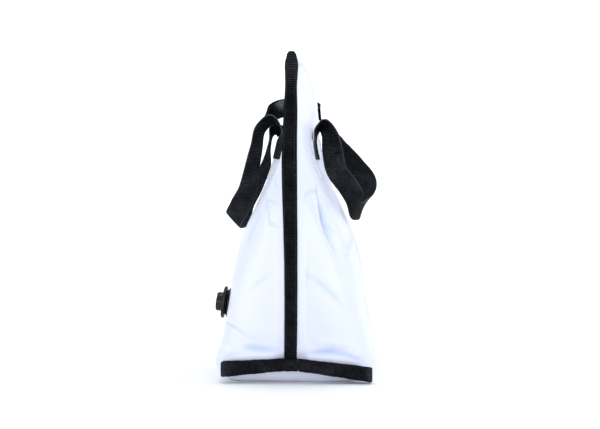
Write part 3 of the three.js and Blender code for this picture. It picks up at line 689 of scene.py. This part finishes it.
def tuck_depth(side, reach, height):
    """Tucks drop at one edge and rise slowly back to the wall on one side; also how much shade is painted
    beside them.
    """
    depth, painted_shade = np.zeros_like(reach), np.zeros_like(reach)
    for shade_strength, slope_a, slope_b, deep, line in on_side(TUCKS, side):
        away, hand, along = nearest(line, reach, height)
        signed = hand * away
        beyond = np.maximum(0, signed)
        slope = slope_a + (slope_b - slope_a) * along
        fade = 0.16 + 0.0025 * slope_a
        taper = smooth(along, -0.04, fade) * smooth(1 - along, -0.04, fade)
        steep = np.exp(-beyond / np.maximum(3, 0.13 * slope))
        fall = (1 - steep) * bell(beyond, slope, 1.4) - TUCK_LIP * steep
        lip = -TUCK_LIP * bell(np.minimum(0, signed), 0.2 * slope)
        depth += deep * taper * np.where(signed > 0, fall, lip)
        # Painted shade on the slope beside the tuck's sharp edge
        painted_shade += shade_strength * taper * np.exp(-beyond / (0.42 * slope)) * smooth(signed, -3, 3 + 0.05 * slope)
    return depth * smooth(reach, *CREASE_HELD), painted_shade


def wall_base(side, heights, shares):
    """Places on one side before folding, the way into the bag there, and the distance along the wall."""
    shape = (len(heights), len(shares))
    spots, inward = np.zeros((*shape, 3)), np.zeros((*shape, 3))
    reach, length = np.zeros(shape), np.zeros(shape)
    turn = np.cos(math.pi * (1 - np.arange(481) / 480))
    for k, row in enumerate(read_table(SECTIONS, heights).T):
        half, lean, seam_x, seam_y, along, across, thick = row
        line_y = seam_y * np.sign(turn) * np.abs(turn) ** (2 / along)
        t = np.minimum(1, np.abs(line_y) / seam_y)
        wide = thick + (half - thick) * (1 - t**along) ** (1 / across)
        line = np.stack([lean + (seam_x - lean) * t**3 + side * wide, line_y], 1)
        run = run_along(line)
        length[k], reach[k] = run[-1], shares * run[-1]
        spots[k, :, :2] = read_line(reach[k], run, line)
        ahead = read_line(reach[k], run, unit(np.gradient(line, axis=0)))
        inward[k, :, 0], inward[k, :, 1] = -side * ahead[:, 1], side * ahead[:, 0]
    return spots, unit(inward), reach, length


def drop(y, height):
    """How far a place hangs below its height on the table; the zip edge also wanders a little."""
    sag = TOP_SAG * (1 - np.minimum(1, np.abs(y) / TOP_HALF) ** 2) * height / HEIGHT
    return sag - read_table(EDGE_WAVE, y)[0] * smooth(height, *LIFT_FROM)


def quiet(side, y, height):
    """1 on the open wall, 0 where a patch or the drain holds it flat."""
    calm = np.ones_like(y)
    for end in HANDLE_ENDS["right" if side > 0 else "left"]:
        off_y = np.maximum(0, np.abs(y - end) - PATCH_HALF)
        off_z = np.maximum(0, np.abs(height - PATCH_MIDDLE) - PATCH_RISE - 2)
        calm *= smooth(np.hypot(off_y, off_z), *PATCH_HELD)
    if side < 0:
        calm *= smooth(np.hypot(y - DRAIN_SPOT[1], height - DRAIN_HEIGHT), *DRAIN_HELD)
    return calm


def puckers(side, reach, length, height):
    """Shallow gathers along the bound seams and the stitched top hem, and the seam's own ridge."""
    depth = np.zeros_like(reach)
    along = band(height, RIDGE_FROM, RIDGE_TO)
    for near, shift in ((reach, 0.0), (length - reach, 1.7)):
        wave = np.sin(height / 7.3 + shift + side) + 0.6 * np.sin(height / 3.9 + 2.1 * side + shift)
        depth += 0.3 * wave * np.exp(-near / 13) * smooth(near, 1, 5)
        depth += along * (0.5 * bell(near - 9, 2.0) - 0.3 * bell(near - 13, 2.6))
    wave = np.sin(reach / 6.1 + side) + 0.7 * np.sin(reach / 10.3 + 0.7 * side)
    return depth + 0.3 * wave * np.exp(-np.maximum(0, HEIGHT - 11 - height) / 11)


def walls(side, heights, shares):
    """One side of the sheet: its points, the way in, the distance along it and the painted shade on it."""
    flat, inward, reach, length = wall_base(side, heights, shares)
    height = heights[:, None] + 0 * reach
    calm = quiet(side, flat[..., 1], height)
    sharp = crease_depth(side, reach, length, height) * calm
    tuck, painted_shade = tuck_depth(side, reach, height)
    depth = fold_depth(side, reach, length, height) + sharp + tuck * calm
    depth += puckers(side, reach, length, height) * (0.3 + 0.7 * calm)
    depth -= HEM_PROUD * smooth(height, HEIGHT - HEM_STEP[0], HEIGHT - HEM_STEP[1])
    flat = flat + depth[..., None] * inward
    for end, near in ((-1, reach), (1, length - reach)):
        beside = band(height, FILL_FROM, FILL_TO) * bell(near, FILL_SPREAD)
        above = bell(height - SWELL, SWELL_SPREAD) * smooth(near, 6, 24)
        above += 1.4 * bell(height - ROLL, ROLL_SPREAD)
        fill = SEAM_FILL * beside + BASE_FILL * above * (near < length / 2)
        flat[..., 1] += end * fill * inward[..., 1] ** 2
    flat[..., 0] += read_table(EDGE_WAVE, flat[..., 1])[1] * smooth(height, *SHIFT_FROM)
    flat[..., 2] = height - drop(flat[..., 1], height)
    # Painted shade in the creases and beside the tucks
    marks = np.clip(sharp / 6 + painted_shade * calm, 0, 1)
    return {"points": flat, "inward": inward, "reach": reach, "length": length, "marks": marks}


def resample(values, at):
    """Reads rows of values at fractional row numbers, on a smooth curve."""
    last = len(values) - 1
    i = np.clip(at.astype(int), 0, last - 1)
    w = (at - i).reshape(-1, 1, 1)
    p0, p1, p2, p3 = (values[np.clip(i + k, 0, last)] for k in (-1, 0, 1, 2))
    return p1 + 0.5 * w * (p2 - p0 + w * (2 * p0 - 5 * p1 + 4 * p2 - p3 + w * (3 * (p1 - p2) + p3 - p0)))


def settle():
    """Lets both walls, cut a little too large, settle as cloth between their seams; keeps the folds."""
    rows, columns = CLOTH_GRID
    heights = np.linspace(0, ROWS[-1], rows)
    starts, faces, held = [], [], []
    for side in (1, -1):
        wall = walls(side, heights, spread(columns - 1))
        height = heights[:, None]
        from_seam = np.minimum(wall["reach"], wall["length"] - wall["reach"])
        loose = smooth(from_seam, *LOOSE_IN) * band(height, LOOSE_FROM, LOOSE_TO)
        held.append(1 - loose * quiet(side, wall["points"][..., 1], height))
        one = quads(rows, columns) + len(starts) * rows * columns
        faces.append(one if side > 0 else one[:, ::-1])
        starts.append(wall["points"].reshape(-1, 3))
    start = np.concatenate(starts) * MM
    mesh = bpy.data.meshes.new("settling")
    mesh.from_pydata(start.tolist(), [], np.concatenate(faces).tolist())
    made = bpy.data.objects.new("settling", mesh)
    scene = bpy.context.scene
    scene.collection.objects.link(made)
    pins = made.vertex_groups.new(name="held")
    for k, weight in enumerate(np.concatenate([h.ravel() for h in held])):
        pins.add([k], float(weight), "REPLACE")
    cloth = made.modifiers.new("cloth", "CLOTH")
    for key, value in CLOTH.items():
        setattr(cloth.settings, key, value)
    cloth.settings.vertex_group_mass = "held"
    cloth.collision_settings.use_collision = False
    cloth.point_cache.frame_start, cloth.point_cache.frame_end = 1, CLOTH_FRAMES
    for step in range(1, CLOTH_FRAMES + 1):
        scene.frame_set(step)
    settled = made.evaluated_get(bpy.context.evaluated_depsgraph_get()).data
    end = np.empty(start.size, np.float32)
    settled.vertices.foreach_get("co", end)
    scene.frame_set(1)
    bpy.data.objects.remove(made)
    bpy.data.meshes.remove(mesh)
    shift = ((end.reshape(-1, 3) - start) / MM).reshape(2, rows, columns, 3)
    broad = shift.copy()
    for _ in range(CLOTH_BROAD):
        wide = np.pad(broad, ((0, 0), (1, 1), (1, 1), (0, 0)), "edge")
        broad += wide[:, :-2, 1:-1] + wide[:, 2:, 1:-1] + wide[:, 1:-1, :-2] + wide[:, 1:-1, 2:]
        broad /= 5
    shift = (shift - broad) * (1 - np.array(held)[..., None])
    shift *= np.minimum(1, CLOTH_MOST / np.maximum(1e-6, np.linalg.norm(shift, axis=-1, keepdims=True)))
    return dict(zip((1, -1), shift))


WALLS = {side: walls(side, ROWS, spread(COLUMNS)) for side in (1, -1)}
for side, shift in (settle()).items():
    count, across = shift.shape[:2]
    fine = resample(shift, ROWS / ROWS[-1] * (count - 1))
    fine = resample(fine.swapaxes(0, 1), np.linspace(0, across - 1, COLUMNS + 1)).swapaxes(0, 1)
    outward = -WALLS[side]["inward"]
    proud = np.sum(fine * outward, -1)
    fine = fine - (np.maximum(0, proud - 1.0) * 0.85)[..., None] * outward
    from_near = smooth(WALLS[side]["reach"], *SLACK_FROM)
    WALLS[side]["points"] += fine * (0.15 + 0.85 * from_near)[..., None]


def place_on(side, y, height):
    """Point of the outside of a wall at a place along the bag and a height on its table."""
    row = np.interp(height, ROWS, np.arange(len(ROWS)))
    low = min(int(row), len(ROWS) - 2)
    one, other = (read_line(y, line[:, 1], line) for line in WALLS[side]["points"][low:low + 2])
    return one + (row - low) * (other - one)


def panel_at(side, y, height):
    spot = place_on(side, y, height)
    along = place_on(side, y + 5, height) - place_on(side, y - 5, height)
    up = place_on(side, y, height + 5) - place_on(side, y, height - 5)
    facing = unit(np.cross(along, up))
    return spot, facing if facing[0] * side > 0 else -facing


def section(height):
    names = ("half", "lean", "seam_x", "seam_y", "along", "across", "wall")
    return dict(zip(names, read_table(SECTIONS, height)))


BASE_SEAM = section(BASE_SEAM_HEIGHT)["seam_y"]
# Steps that keep the left wall, the base and the rims apart on the sheet's flat map
MAP_LEFT, MAP_BASE, MAP_RIM = 2000, 4000, 600


def binding_half(levels):
    return read_table(BINDING_WIDTH, levels)[0] / 2


def binding_nose(levels):
    """How far out an upright binding reaches; it is drawn in above the base."""
    tuck = 7 * (1 - smooth(levels, 36, 66))
    return section(levels)["seam_y"] + FLANGE_REACH + CLEAR + TAPE - tuck


def allowance(shape, middle, axis, half, inner, outer):
    """The seam allowance under a binding, as a box along the middle line of its seam."""
    ring = []
    for hand, y in ((1, inner), (1, outer), (-1, outer), (-1, inner), (1, inner)):
        corner = middle.copy()
        corner[:, axis] += hand * half
        corner[:, 1] = y
        ring.append(corner)
    ring = np.stack(ring, 1)
    shape.grid(ring, np.arange(5) * 16.0, middle[:, 2 - axis, None])
    return ring


def bag_sheet():
    shape = Shape()
    lip = section(HEIGHT - 2.8)["wall"] / 2
    for side, wall in WALLS.items():
        run = wall["reach"] + MAP_LEFT * (side < 0)
        shape.grid(wall["points"], run, ROWS[:, None] * 1.06, wall["marks"])
        rim = []
        for angle in np.linspace(0, math.pi, 9):
            lift = np.array([0, 0, lip * math.sin(angle)])
            rim.append(wall["points"][-1] + wall["inward"][-1] * lip * (1 - math.cos(angle)) + lift)
        for down in (4.0, 9.0, 14.0):
            rim.append(rim[8] - np.array([0, 0, down]))
        shape.grid(rim, run[-1], (MAP_RIM + np.arange(len(rim)) * 1.5)[:, None])
    right, left = WALLS[1]["points"], WALLS[-1]["points"]
    for column in (0, -1):
        shape.ladder(right[:, column], left[:, column])
    base = right[0] + (left[0] - right[0]) * np.linspace(0, 1, 13)[:, None, None]
    shape.grid(base, MAP_BASE + base[..., 1], base[..., 0])
    for end in ENDS.values():
        levels = np.linspace(50, HEIGHT - 8, 90)
        cut = section(levels)
        tuck = 8 * (1 - smooth(levels, 40, 72))
        inner, outer = end * (cut["seam_y"] - 5), end * (cut["seam_y"] + FLANGE_REACH - tuck)
        middle = np.stack([cut["seam_x"], 0 * levels, levels], 1)
        allowance(shape, middle, 0, binding_half(levels) - TAPE - CLEAR, inner, outer)
    for word, end in ENDS.items():
        x = BASE_MIDDLE + np.linspace(-BASE_HALF, BASE_HALF, 60)
        z, whole = read_table(BASE_LINE[word], x)
        inner, outer = end * (BASE_SEAM - 14), end * (BASE_SEAM + FLANGE_REACH)
        middle = np.stack([x, 0 * x, z], 1)
        ring = allowance(shape, middle, 2, whole / 2 - TAPE - CLEAR, inner, outer)
        shape.close(ring[0], ring[-1])
    made = shape.build("bag_sheet", SHEET, "white_sheet", nodes=["bag_body"], sharp=75)


# Bindings: webbing folded over the seam allowance


def folded_profile(half, root, nose, bend):
    """Half widths and outward distances of a folded strip at each place along it, as closed lines."""
    half, root, nose, bend = (np.reshape(value, (-1, 1)) for value in (half, root, nose, bend))
    angles = np.linspace(0, math.pi / 2, 9)
    straight = np.linspace(0, 1, 7)[:-1]
    wide, out = [], []
    for hand, inset in ((1, 0.0), (-1, TAPE_SKIN)):
        h, n, b = half - inset, nose - inset, np.maximum(0.6, bend - inset)
        x = hand * np.hstack([h + 0 * straight, h - b + b * np.cos(angles)])
        y = np.hstack([root + (n - b - root) * straight, n - b + b * np.sin(angles)])
        wide += [x, -x[:, ::-1]]
        out += [y, y[:, ::-1]]
    return np.hstack([*wide, wide[0][:, :1]]), np.hstack([*out, out[0][:, :1]])


def end_binding(word, end):
    shape = Shape()
    top = HEIGHT + BINDING_RISE
    rounding = top - BINDING_ROUND * (1 - np.linspace(0, 1, 24)[1:]) ** 1.4
    levels = [np.linspace(BINDING_LOW, 459, 140), np.linspace(460, top - BINDING_ROUND, 100), rounding]
    levels = np.concatenate(levels)
    cut = section(levels)
    close = np.clip((top - levels) / BINDING_PINCH, 0, 1)
    pinch = np.sqrt(np.maximum(0, 1 - (1 - close) ** 2))
    half = binding_half(levels) * (0.34 + 0.66 * pinch)
    rib = smooth(levels, *RIB_FROM) * np.sin(levels / RIB_RUN)
    wave = 0.25 * np.sin(levels / 11.0 + end) + 0.18 * np.sin(levels / 4.7)
    root = cut["seam_y"] + 1.2 + 0.4 * wave
    nose = binding_nose(levels) - 4 * (1 - pinch) + 0.5 * rib
    bend = np.minimum(TAPE_BEND, half - 0.5)
    x, y = folded_profile(half + 0.2 * wave + 0.2 * rib, root, nose, bend)
    rows = np.stack([cut["seam_x"][:, None] + x, end * y, levels[:, None] + 0 * x], -1)
    # Painted highlight on the crests of the gathered ribs near the top
    marks = smooth(levels, *RIB_HIGHLIGHT_FROM) * (0.15 + 0.85 * smooth(np.sin(levels / RIB_RUN), -0.4, 0.8))
    run = run_along(np.stack([x[0], y[0]], 1))
    shape.grid(rows, levels[:, None] * 1.02, run, marks[:, None])
    shape.close(rows[0], rows[-1, : x.shape[1] // 2 + 1])
    shape.build(f"end_tape_{word}", TAPE_WEB, "binding", nodes=[f"end_binding_{word}"], sharp=70)


def base_binding(word, end):
    shape = Shape()
    reach = BASE_HALF + 2
    x = BASE_MIDDLE + np.linspace(-reach, reach, 260)
    z, whole = read_table(BASE_LINE[word], x)
    over = bell(x - LAP, LAP_HALF, 6)
    step = 0.6 * bell(x - LAP_EDGES[0], LAP_SOFT) + bell(x - LAP_EDGES[1], LAP_SOFT)
    wave = 0.24 * np.sin(x / 6.3 + end) + 0.14 * np.sin(x / 2.3) + 0.08 * np.sin(x / 1.1 + 2)
    from_end = reach - np.abs(x - BASE_MIDDLE)
    worn = 1.6 * bell(from_end, 1.6)
    nose = BASE_SEAM + FLANGE_REACH + CLEAR + TAPE + 1.6 * over - 1.6 * step + wave - worn
    half = whole / 2 + 0.3 * over - step + wave - worn
    high, out = folded_profile(half, BASE_SEAM + 1.5, nose, TAPE_BEND)
    rows = np.stack([x[:, None] + 0 * high, end * out, z[:, None] + high], -1)
    run = run_along(np.stack([high[0], out[0]], 1))
    shape.grid(rows, x[:, None], run, bell(from_end, 9)[:, None])
    shape.close(rows[0], rows[-1])
    shape.build(f"base_tape_{word}", BASE_WEB, "binding", nodes=[f"base_binding_{word}"], sharp=70)


# Straps and patches


def strap_lines(path):
    """Middle line, directions across and out of the webbing, and the run along it."""
    path = np.array(path, float)
    dense = np.linspace(0, 1, 2400)
    run = run_along(curve(path[:, :3], dense))
    count = int(run[-1] / 2.4)
    shares = np.interp(np.linspace(0, run[-1], count), run, dense)
    middle = curve(path[:, :3], shares)
    ahead = unit(np.gradient(middle, axis=0))
    across = curve(path[:, 3:], shares)
    across = unit(across - np.sum(across * ahead, 1, keepdims=True) * ahead)
    return middle, across, np.cross(ahead, across), np.linspace(0, run[-1], count)


def strap(name, path, node, look, cup, held, shine=(), deep=()):
    shape = Shape()
    middle, across, face, run = strap_lines(path)
    half, thick = STRAP_WIDTH / 2, STRAP_THICK / 2 * 0.92
    flat = np.linspace(-1, 1, 15)
    turn = np.linspace(0, math.pi, 7)[1:-1]
    a = np.concatenate([flat * (half - thick), half - thick + thick * np.sin(turn)])
    b = np.concatenate([np.full(15, thick), thick * np.cos(turn)])
    a = np.concatenate([a, -a, a[:1]])
    b = np.concatenate([b, -b, b[:1]])
    free = smooth(run, held, held + 45) * smooth(run[-1] - run, held, held + 45)
    bow = free[:, None] * cup * ((a / half) ** 2 - 0.33)
    ripple = free * (0.5 * np.sin(run / 17.0) + 0.35 * np.sin(run / 7.7))
    lift = b + bow + (ripple[:, None] * (a / half)) * 0.6
    rows = middle[:, None] + across[:, None] * a[:, None] + face[:, None] * lift[..., None]
    marks = np.zeros(rows.shape[:2])
    share = run[:, None] / run[-1]
    # Painted highlight along the marked stretches
    for spot, wide in shine:
        marks += bell(share - spot, wide) * np.clip(0.4 + 0.7 * a / half, 0, 1)
    # Painted shade inside the bends, as negative marks
    for spot, wide, much in deep:
        marks -= much * bell(share - spot, wide, 4)
    shape.grid(rows, run[:, None], np.clip(a, -half, half), marks)
    shape.close(rows[0], rows[-1])
    shape.build(name, look, "strap", nodes=[node], sharp=75)


def handle_path(word):
    """Path of a carry handle: sewn to its patch at both ends, free between them."""

    def sewn(y, height):
        spot, facing = panel_at(SIDES[word], y, height)
        wide = np.array([0, -1.0, 0])
        wide = wide - (wide @ facing) * facing
        return (*(spot + facing * (STRAP_LIFT + STRAP_THICK / 2)), *wide)

    near, far = HANDLE_ENDS[word]
    return [
        *(sewn(near, height) for height in STITCHED),
        *HANDLE_PATHS[word],
        *(sewn(far, height) for height in STITCHED[::-1]),
    ]


def patch(word, end_word, y):
    shape = Shape()
    t = np.linspace(-1, 1, 27)
    bottom, top = np.zeros((2, len(t), len(t), 3))
    for row, j in enumerate(t):
        for column, i in enumerate(t):
            edge = max(abs(i), abs(j))
            corner = 1 - 0.05 * max(0.0, abs(i) + abs(j) - 1.6)
            along, height = y + PATCH_HALF * i * corner, PATCH_MIDDLE + PATCH_RISE * j * corner
            spot, facing = panel_at(SIDES[word], along, height)
            thick = PATCH_SUNK + (PATCH_TOP - PATCH_SUNK) * (1 - bell(edge - PATCH_SEAM, 0.05))
            bottom[row, column] = spot + facing * PATCH_GAP
            top[row, column] = spot + facing * (thick if edge < 0.99 else PATCH_SUNK - 0.5)
    u, v = t * PATCH_HALF, t[:, None] * PATCH_RISE
    edge = np.maximum(np.abs(t), np.abs(t)[:, None])
    # Painted shade along the patch's raised edge and its sewn line
    edge_shade = 0.75 * smooth(edge, 0.9, 1.0) + 0.3 * bell(edge - PATCH_SEAM, 0.04)
    shape.grid(top, u, v, edge_shade)
    shape.grid(bottom, u, v)
    for pick in (np.s_[0], np.s_[-1], np.s_[:, 0], np.s_[:, -1]):
        shape.ladder(top[pick], bottom[pick])
    name = f"patch_{word}_{end_word}"
    shape.build(name, PATCH_SHEET_LIT, "patch", nodes=[f"handle_{name}"], sharp=60)


# Stitches


def stitch(shape, line, facing, pitch=3.8, long=2.8, wide=0.42):
    """Short pills of thread along a line of points, each lying on the face under it."""
    line = np.asarray(line, float)
    facing = np.broadcast_to(facing, line.shape)
    run = run_along(line)
    count = max(1, int(run[-1] / pitch))
    at = (np.arange(count) + 0.5) * run[-1] / count
    centre, out = read_line(at, run, line), unit(read_line(at, run, facing))
    before, after = np.maximum(0, at - 1), np.minimum(run[-1], at + 1)
    ahead = unit(read_line(after, run, line) - read_line(before, run, line))
    aside = np.cross(out, ahead)
    along = np.array([-0.5, -0.38, 0, 0.38, 0.5]) * long
    size = np.array([0.35, 0.85, 1.0, 0.85, 0.35]) * wide
    sink = np.array([-0.9, -0.35, 0.0, -0.35, -0.9]) * wide
    angles = np.arange(6) * math.pi / 3
    points = (
        centre[:, None, None]
        + ahead[:, None, None] * along[:, None, None]
        + aside[:, None, None] * (size[:, None] * np.cos(angles))[..., None]
        + out[:, None, None] * (size[:, None] * np.sin(angles) + sink[:, None])[..., None]
    )
    shape.prisms(points, (0, 4))


def panel_line(side, spots, lift, step=2.0):
    """Points along straight runs between (y, height) spots on a panel, and the way it faces there."""
    line, facing = [], []
    for (ya, ha), (yb, hb) in zip(spots, spots[1:]):
        count = max(2, int(math.hypot(yb - ya, hb - ha) / step))
        for t in np.linspace(0, 1, count, endpoint=False):
            spot, out = panel_at(side, ya + (yb - ya) * t, ha + (hb - ha) * t)
            line.append(spot + out * lift)
            facing.append(out)
    return line, facing


def box(y, half, low, high):
    return [(y - half, low), (y + half, low), (y + half, high), (y - half, high), (y - half, low)]


def sewing():
    white, black = Shape(), Shape()
    for word, side in SIDES.items():
        for y in HANDLE_ENDS[word]:
            wide, rise = PATCH_HALF - PATCH_INSET[0], PATCH_RISE - PATCH_INSET[1]
            spots = box(y, wide, PATCH_MIDDLE - rise, PATCH_MIDDLE + rise)
            stitch(white, *panel_line(side, spots, PATCH_SUNK + 0.05), wide=0.5)
            spots = box(y, STRAP_WIDTH / 2 - STRAP_INSET, STITCHED[0] + 3.5, STITCHED[2] - 2)
            for line in (spots, [spots[0], spots[2]], [spots[3], spots[1]]):
                stitch(black, *panel_line(side, line, STRAP_LIFT + STRAP_THICK))
        for below in HEM_ROWS:
            row = int(np.argmin(np.abs(ROWS - (HEIGHT - below))))
            points, inward = WALLS[side]["points"][row], WALLS[side]["inward"][row]
            keep = np.abs(points[:, 1]) < HEM_END
            stitch(white, (points - 0.1 * inward)[keep], -inward[keep], 4.2, 3.2, 0.4)
    for word, end in ENDS.items():
        levels = np.linspace(52, HEIGHT - 12, 240)
        seam_x, half = section(levels)["seam_x"], binding_half(levels) - 3
        y = end * (binding_nose(levels) - 0.75)
        for face in (-1, 1):
            line = np.stack([seam_x + face * half, y, levels], 1)
            stitch(black, line, [0.5 * face, 0.87 * end, 0.0], wide=0.5)
        x = BASE_MIDDLE + np.linspace(-BASE_HALF, BASE_HALF, 120)
        z, whole = read_table(BASE_LINE[word], x)
        for face in (-1, 1):
            line = np.stack([x, np.full_like(x, end * (BASE_SEAM + 5.6)), z + face * whole / 2], 1)
            stitch(black, line, [0.0, 0.0, face], wide=0.45)
    white.build("stitches_white", WHITE_THREAD, "white_sheet", weld=0)
    black.build("stitches_black", BLACK_THREAD, "strap", weld=0)


# Zip


def zip_edge(y):
    return HEIGHT - drop(y, HEIGHT)


def zip_middle(y):
    return section(HEIGHT)["lean"] + read_table(EDGE_WAVE, y)[1]


def zip_parts():
    tape = Shape()
    y = np.linspace(-ZIP_HALF, ZIP_HALF, 240)
    rows = np.stack([np.stack([zip_middle(y) + a, y, zip_edge(y) + b], 1) for a, b in ZIP_TAPE], 1)
    tape.grid(rows, y[:, None], np.array(ZIP_TAPE)[:, 0])
    tape.build("zip_tape", ZIP_WEB, "zip", nodes=["zip"])
    teeth = Shape()
    spots = np.arange(-TEETH_HALF, TEETH_HALF, TOOTH_PITCH / 2)[:, None, None]
    hand = np.where(np.arange(len(spots)) % 2 == 0, 1.0, -1.0)[:, None, None]
    high, size = TOOTH_LEVELS[:, :1], TOOTH_LEVELS[:, 1:]
    x = zip_middle(spots) + hand * (1.0 - TOOTH_RING[:, 0] * size * 0.85)
    points = np.broadcast_arrays(x, spots + TOOTH_RING[:, 1] * size, zip_edge(spots) + high)
    teeth.prisms(np.stack(points, -1), (2,))
    teeth.build("zip_teeth", TOOTH, "zip", weld=0, sharp=40)
    pull = Shape()
    x, z = zip_middle(SLIDER_PLACE), zip_edge(SLIDER_PLACE)
    for along, over, *form in SLIDER:
        rounded_block(pull, (x, SLIDER_PLACE + along, z + over), *form)
    pull.build("zip_pull", GLOSS, "plastic", nodes=["zip_slider"], sharp=50)


def rounded_block(shape, centre, size, bend, tilt, taper):
    """A pillow-edged block: rings of a rounded outline, smaller at the top and bottom."""
    angles = np.linspace(0, 2 * math.pi, 33)
    wheel = np.stack([np.cos(angles), np.sin(angles)], 1)
    outline = np.sign(wheel) * np.abs(wheel) ** 0.28
    half = np.array(size) / 2
    rows = []
    for angle in np.linspace(-math.pi / 2, math.pi / 2, 9):
        inset = bend * (1 - math.cos(angle))
        z = math.copysign(half[2] - bend + bend * abs(math.sin(angle)), angle) if angle else 0.0
        x = outline[:, 0] * (half[0] - inset) * (1 + (taper - 1) * (outline[:, 1] + 1) / 2)
        y = outline[:, 1] * (half[1] - inset)
        rows.append(np.stack([x, y, np.full_like(x, z) + y * math.tan(tilt)], 1))
    rows = np.array(rows) + np.array(centre)
    shape.grid(rows, np.arange(9)[:, None] * 1.0, np.arange(33) * 1.0)
    shape.close(rows[0], rows[-1])


# Drain


def soften(profile):
    """Rounds the corners of a turned profile."""
    points = np.array(profile, float)
    closed = points[0, 0] > 0
    out = []
    count = len(points)
    for k in range(count):
        if not closed and k in (0, count - 1):
            out.append(points[k])
            continue
        before, here, after = points[k - 1], points[k], points[(k + 1) % count]
        da, db = np.linalg.norm(before - here), np.linalg.norm(after - here)
        cut = min(DRAIN_BEND, 0.45 * da, 0.45 * db)
        p0, p2 = here + (before - here) * cut / da, here + (after - here) * cut / db
        for t in (0, 0.33, 0.67, 1):
            out.append((1 - t) ** 2 * p0 + 2 * t * (1 - t) * here + t**2 * p2)
    if closed:
        out.append(out[0])
    return np.array(out)


def turned(name, profile, slices, node, body, ridge=None):
    shape = Shape()
    out = unit(DRAIN_AXIS)
    side = unit(np.cross(np.array([0.0, 1.0, 0.0]), out))
    other = np.cross(out, side)
    line = soften(profile)
    angles = np.linspace(0, 2 * math.pi, slices + 1)
    rows = []
    for r, z in line:
        radius = r - (ridge(angles, r, z) if ridge else 0 * angles)
        spots = side * (radius * np.cos(angles))[:, None] + other * (radius * np.sin(angles))[:, None]
        rows.append(DRAIN_SPOT + spots + out * z)
    shape.grid(rows, run_along(line)[:, None], angles * 20)
    shape.build(name, GLOSS, "plastic", nodes=[node], body=body, sharp=50)


def drain():
    def knurl(angles, r, z):
        return KNURL_DEPTH * (0.5 + 0.5 * np.cos(angles * KNURLS)) * (r > 27.2)

    def grips(angles, r, z):
        from_grip = np.mod(angles * GRIPS / (2 * math.pi) + 0.5, 1) - 0.5
        return GRIP_DEPTH * bell(from_grip, 0.17) * (r > 14.8) * smooth(z, 13.2, 15.0)

    turned("drain_flange", DRAIN_FLANGE, 96, "drain_base", "bag")
    turned("drain_ring", DRAIN_RING, 220, "drain_collar", "bag", knurl)
    turned("drain_knob", DRAIN_KNOB, 160, "drain_cap", "cap", grips)


def stage():
    scene = bpy.context.scene
    across = np.linspace(-FLOOR_HALF, FLOOR_HALF, 9)
    bend = np.linspace(0, math.pi / 2, 25)
    far = FLOOR_BACK + FLOOR_BEND
    front = np.linspace(FLOOR_FRONT, FLOOR_BACK - 0.2, 10)
    run = np.concatenate([front, FLOOR_BACK + FLOOR_BEND * np.sin(bend), np.full(4, far)])
    back = np.linspace(FLOOR_TOP / 2, FLOOR_TOP, 4)
    rise = np.concatenate([np.zeros(10), FLOOR_BEND * (1 - np.cos(bend)), back]) - FLOOR_GAP
    rows = np.stack(np.broadcast_arrays(across, run[:, None], rise[:, None]), -1)
    mesh = bpy.data.meshes.new("floor")
    mesh.from_pydata(rows.reshape(-1, 3).tolist(), [], quads(*rows.shape[:2]).tolist())
    mesh.shade_smooth()
    look = Look("pale_floor")
    tone = look.mix(look.noise(3.0), (0.93, 0.935, 0.94, 1), (0.95, 0.953, 0.96, 1))
    look.set(Base_Color=tone, Roughness=0.9)
    mesh.materials.append(look.material)
    made = bpy.data.objects.new("floor", mesh)
    scene.collection.objects.link(made)

    world = bpy.data.worlds.new("studio")
    scene.world = world
    world.use_nodes = True
    sky = world.node_tree.nodes["Background"]
    sky.inputs["Color"].default_value = SKY
    sky.inputs["Strength"].default_value = SKY_STRENGTH

    for name, (place, aim, size, watts, tone) in LIGHTS.items():
        light = bpy.data.lights.new(name, "AREA")
        light.shape = "RECTANGLE"
        light.size, light.size_y = size
        light.energy = watts
        light.color = tone
        made = bpy.data.objects.new(name, light)
        scene.collection.objects.link(made)
        made.location = place
        made.rotation_euler = (Vector(aim) - Vector(place)).to_track_quat("-Z", "Y").to_euler()

    lens = bpy.data.cameras.new("camera")
    lens.sensor_width = 36
    lens.lens = LENS
    lens.clip_end = 60
    eye = bpy.data.objects.new("camera", lens)
    scene.collection.objects.link(eye)
    eye.location = EYE
    eye.rotation_euler = (math.pi / 2, 0, math.radians(EYE_TURN))
    scene.camera = eye
    scene.view_settings.view_transform = "Standard"
    scene.view_settings.look = "None"


bag_sheet()
for word, end in ENDS.items():
    end_binding(word, end)
    base_binding(word, end)
for word in SIDES:
    strap(f"strap_{word}", handle_path(word), f"handle_{word}", STRAP_WEB, 0.9, 40, deep=BEND_SHADE[word])
    for end_word, y in zip(ENDS, HANDLE_ENDS[word]):
        patch(word, end_word, y)
strap("end_strap", END_LOOP_PATH, "end_loop", LOOP_WEB_SHADED, 0.7, 20, shine=LOOP_HIGHLIGHT, deep=BEND_SHADE["end"])
sewing()
zip_parts()
drain()
stage()
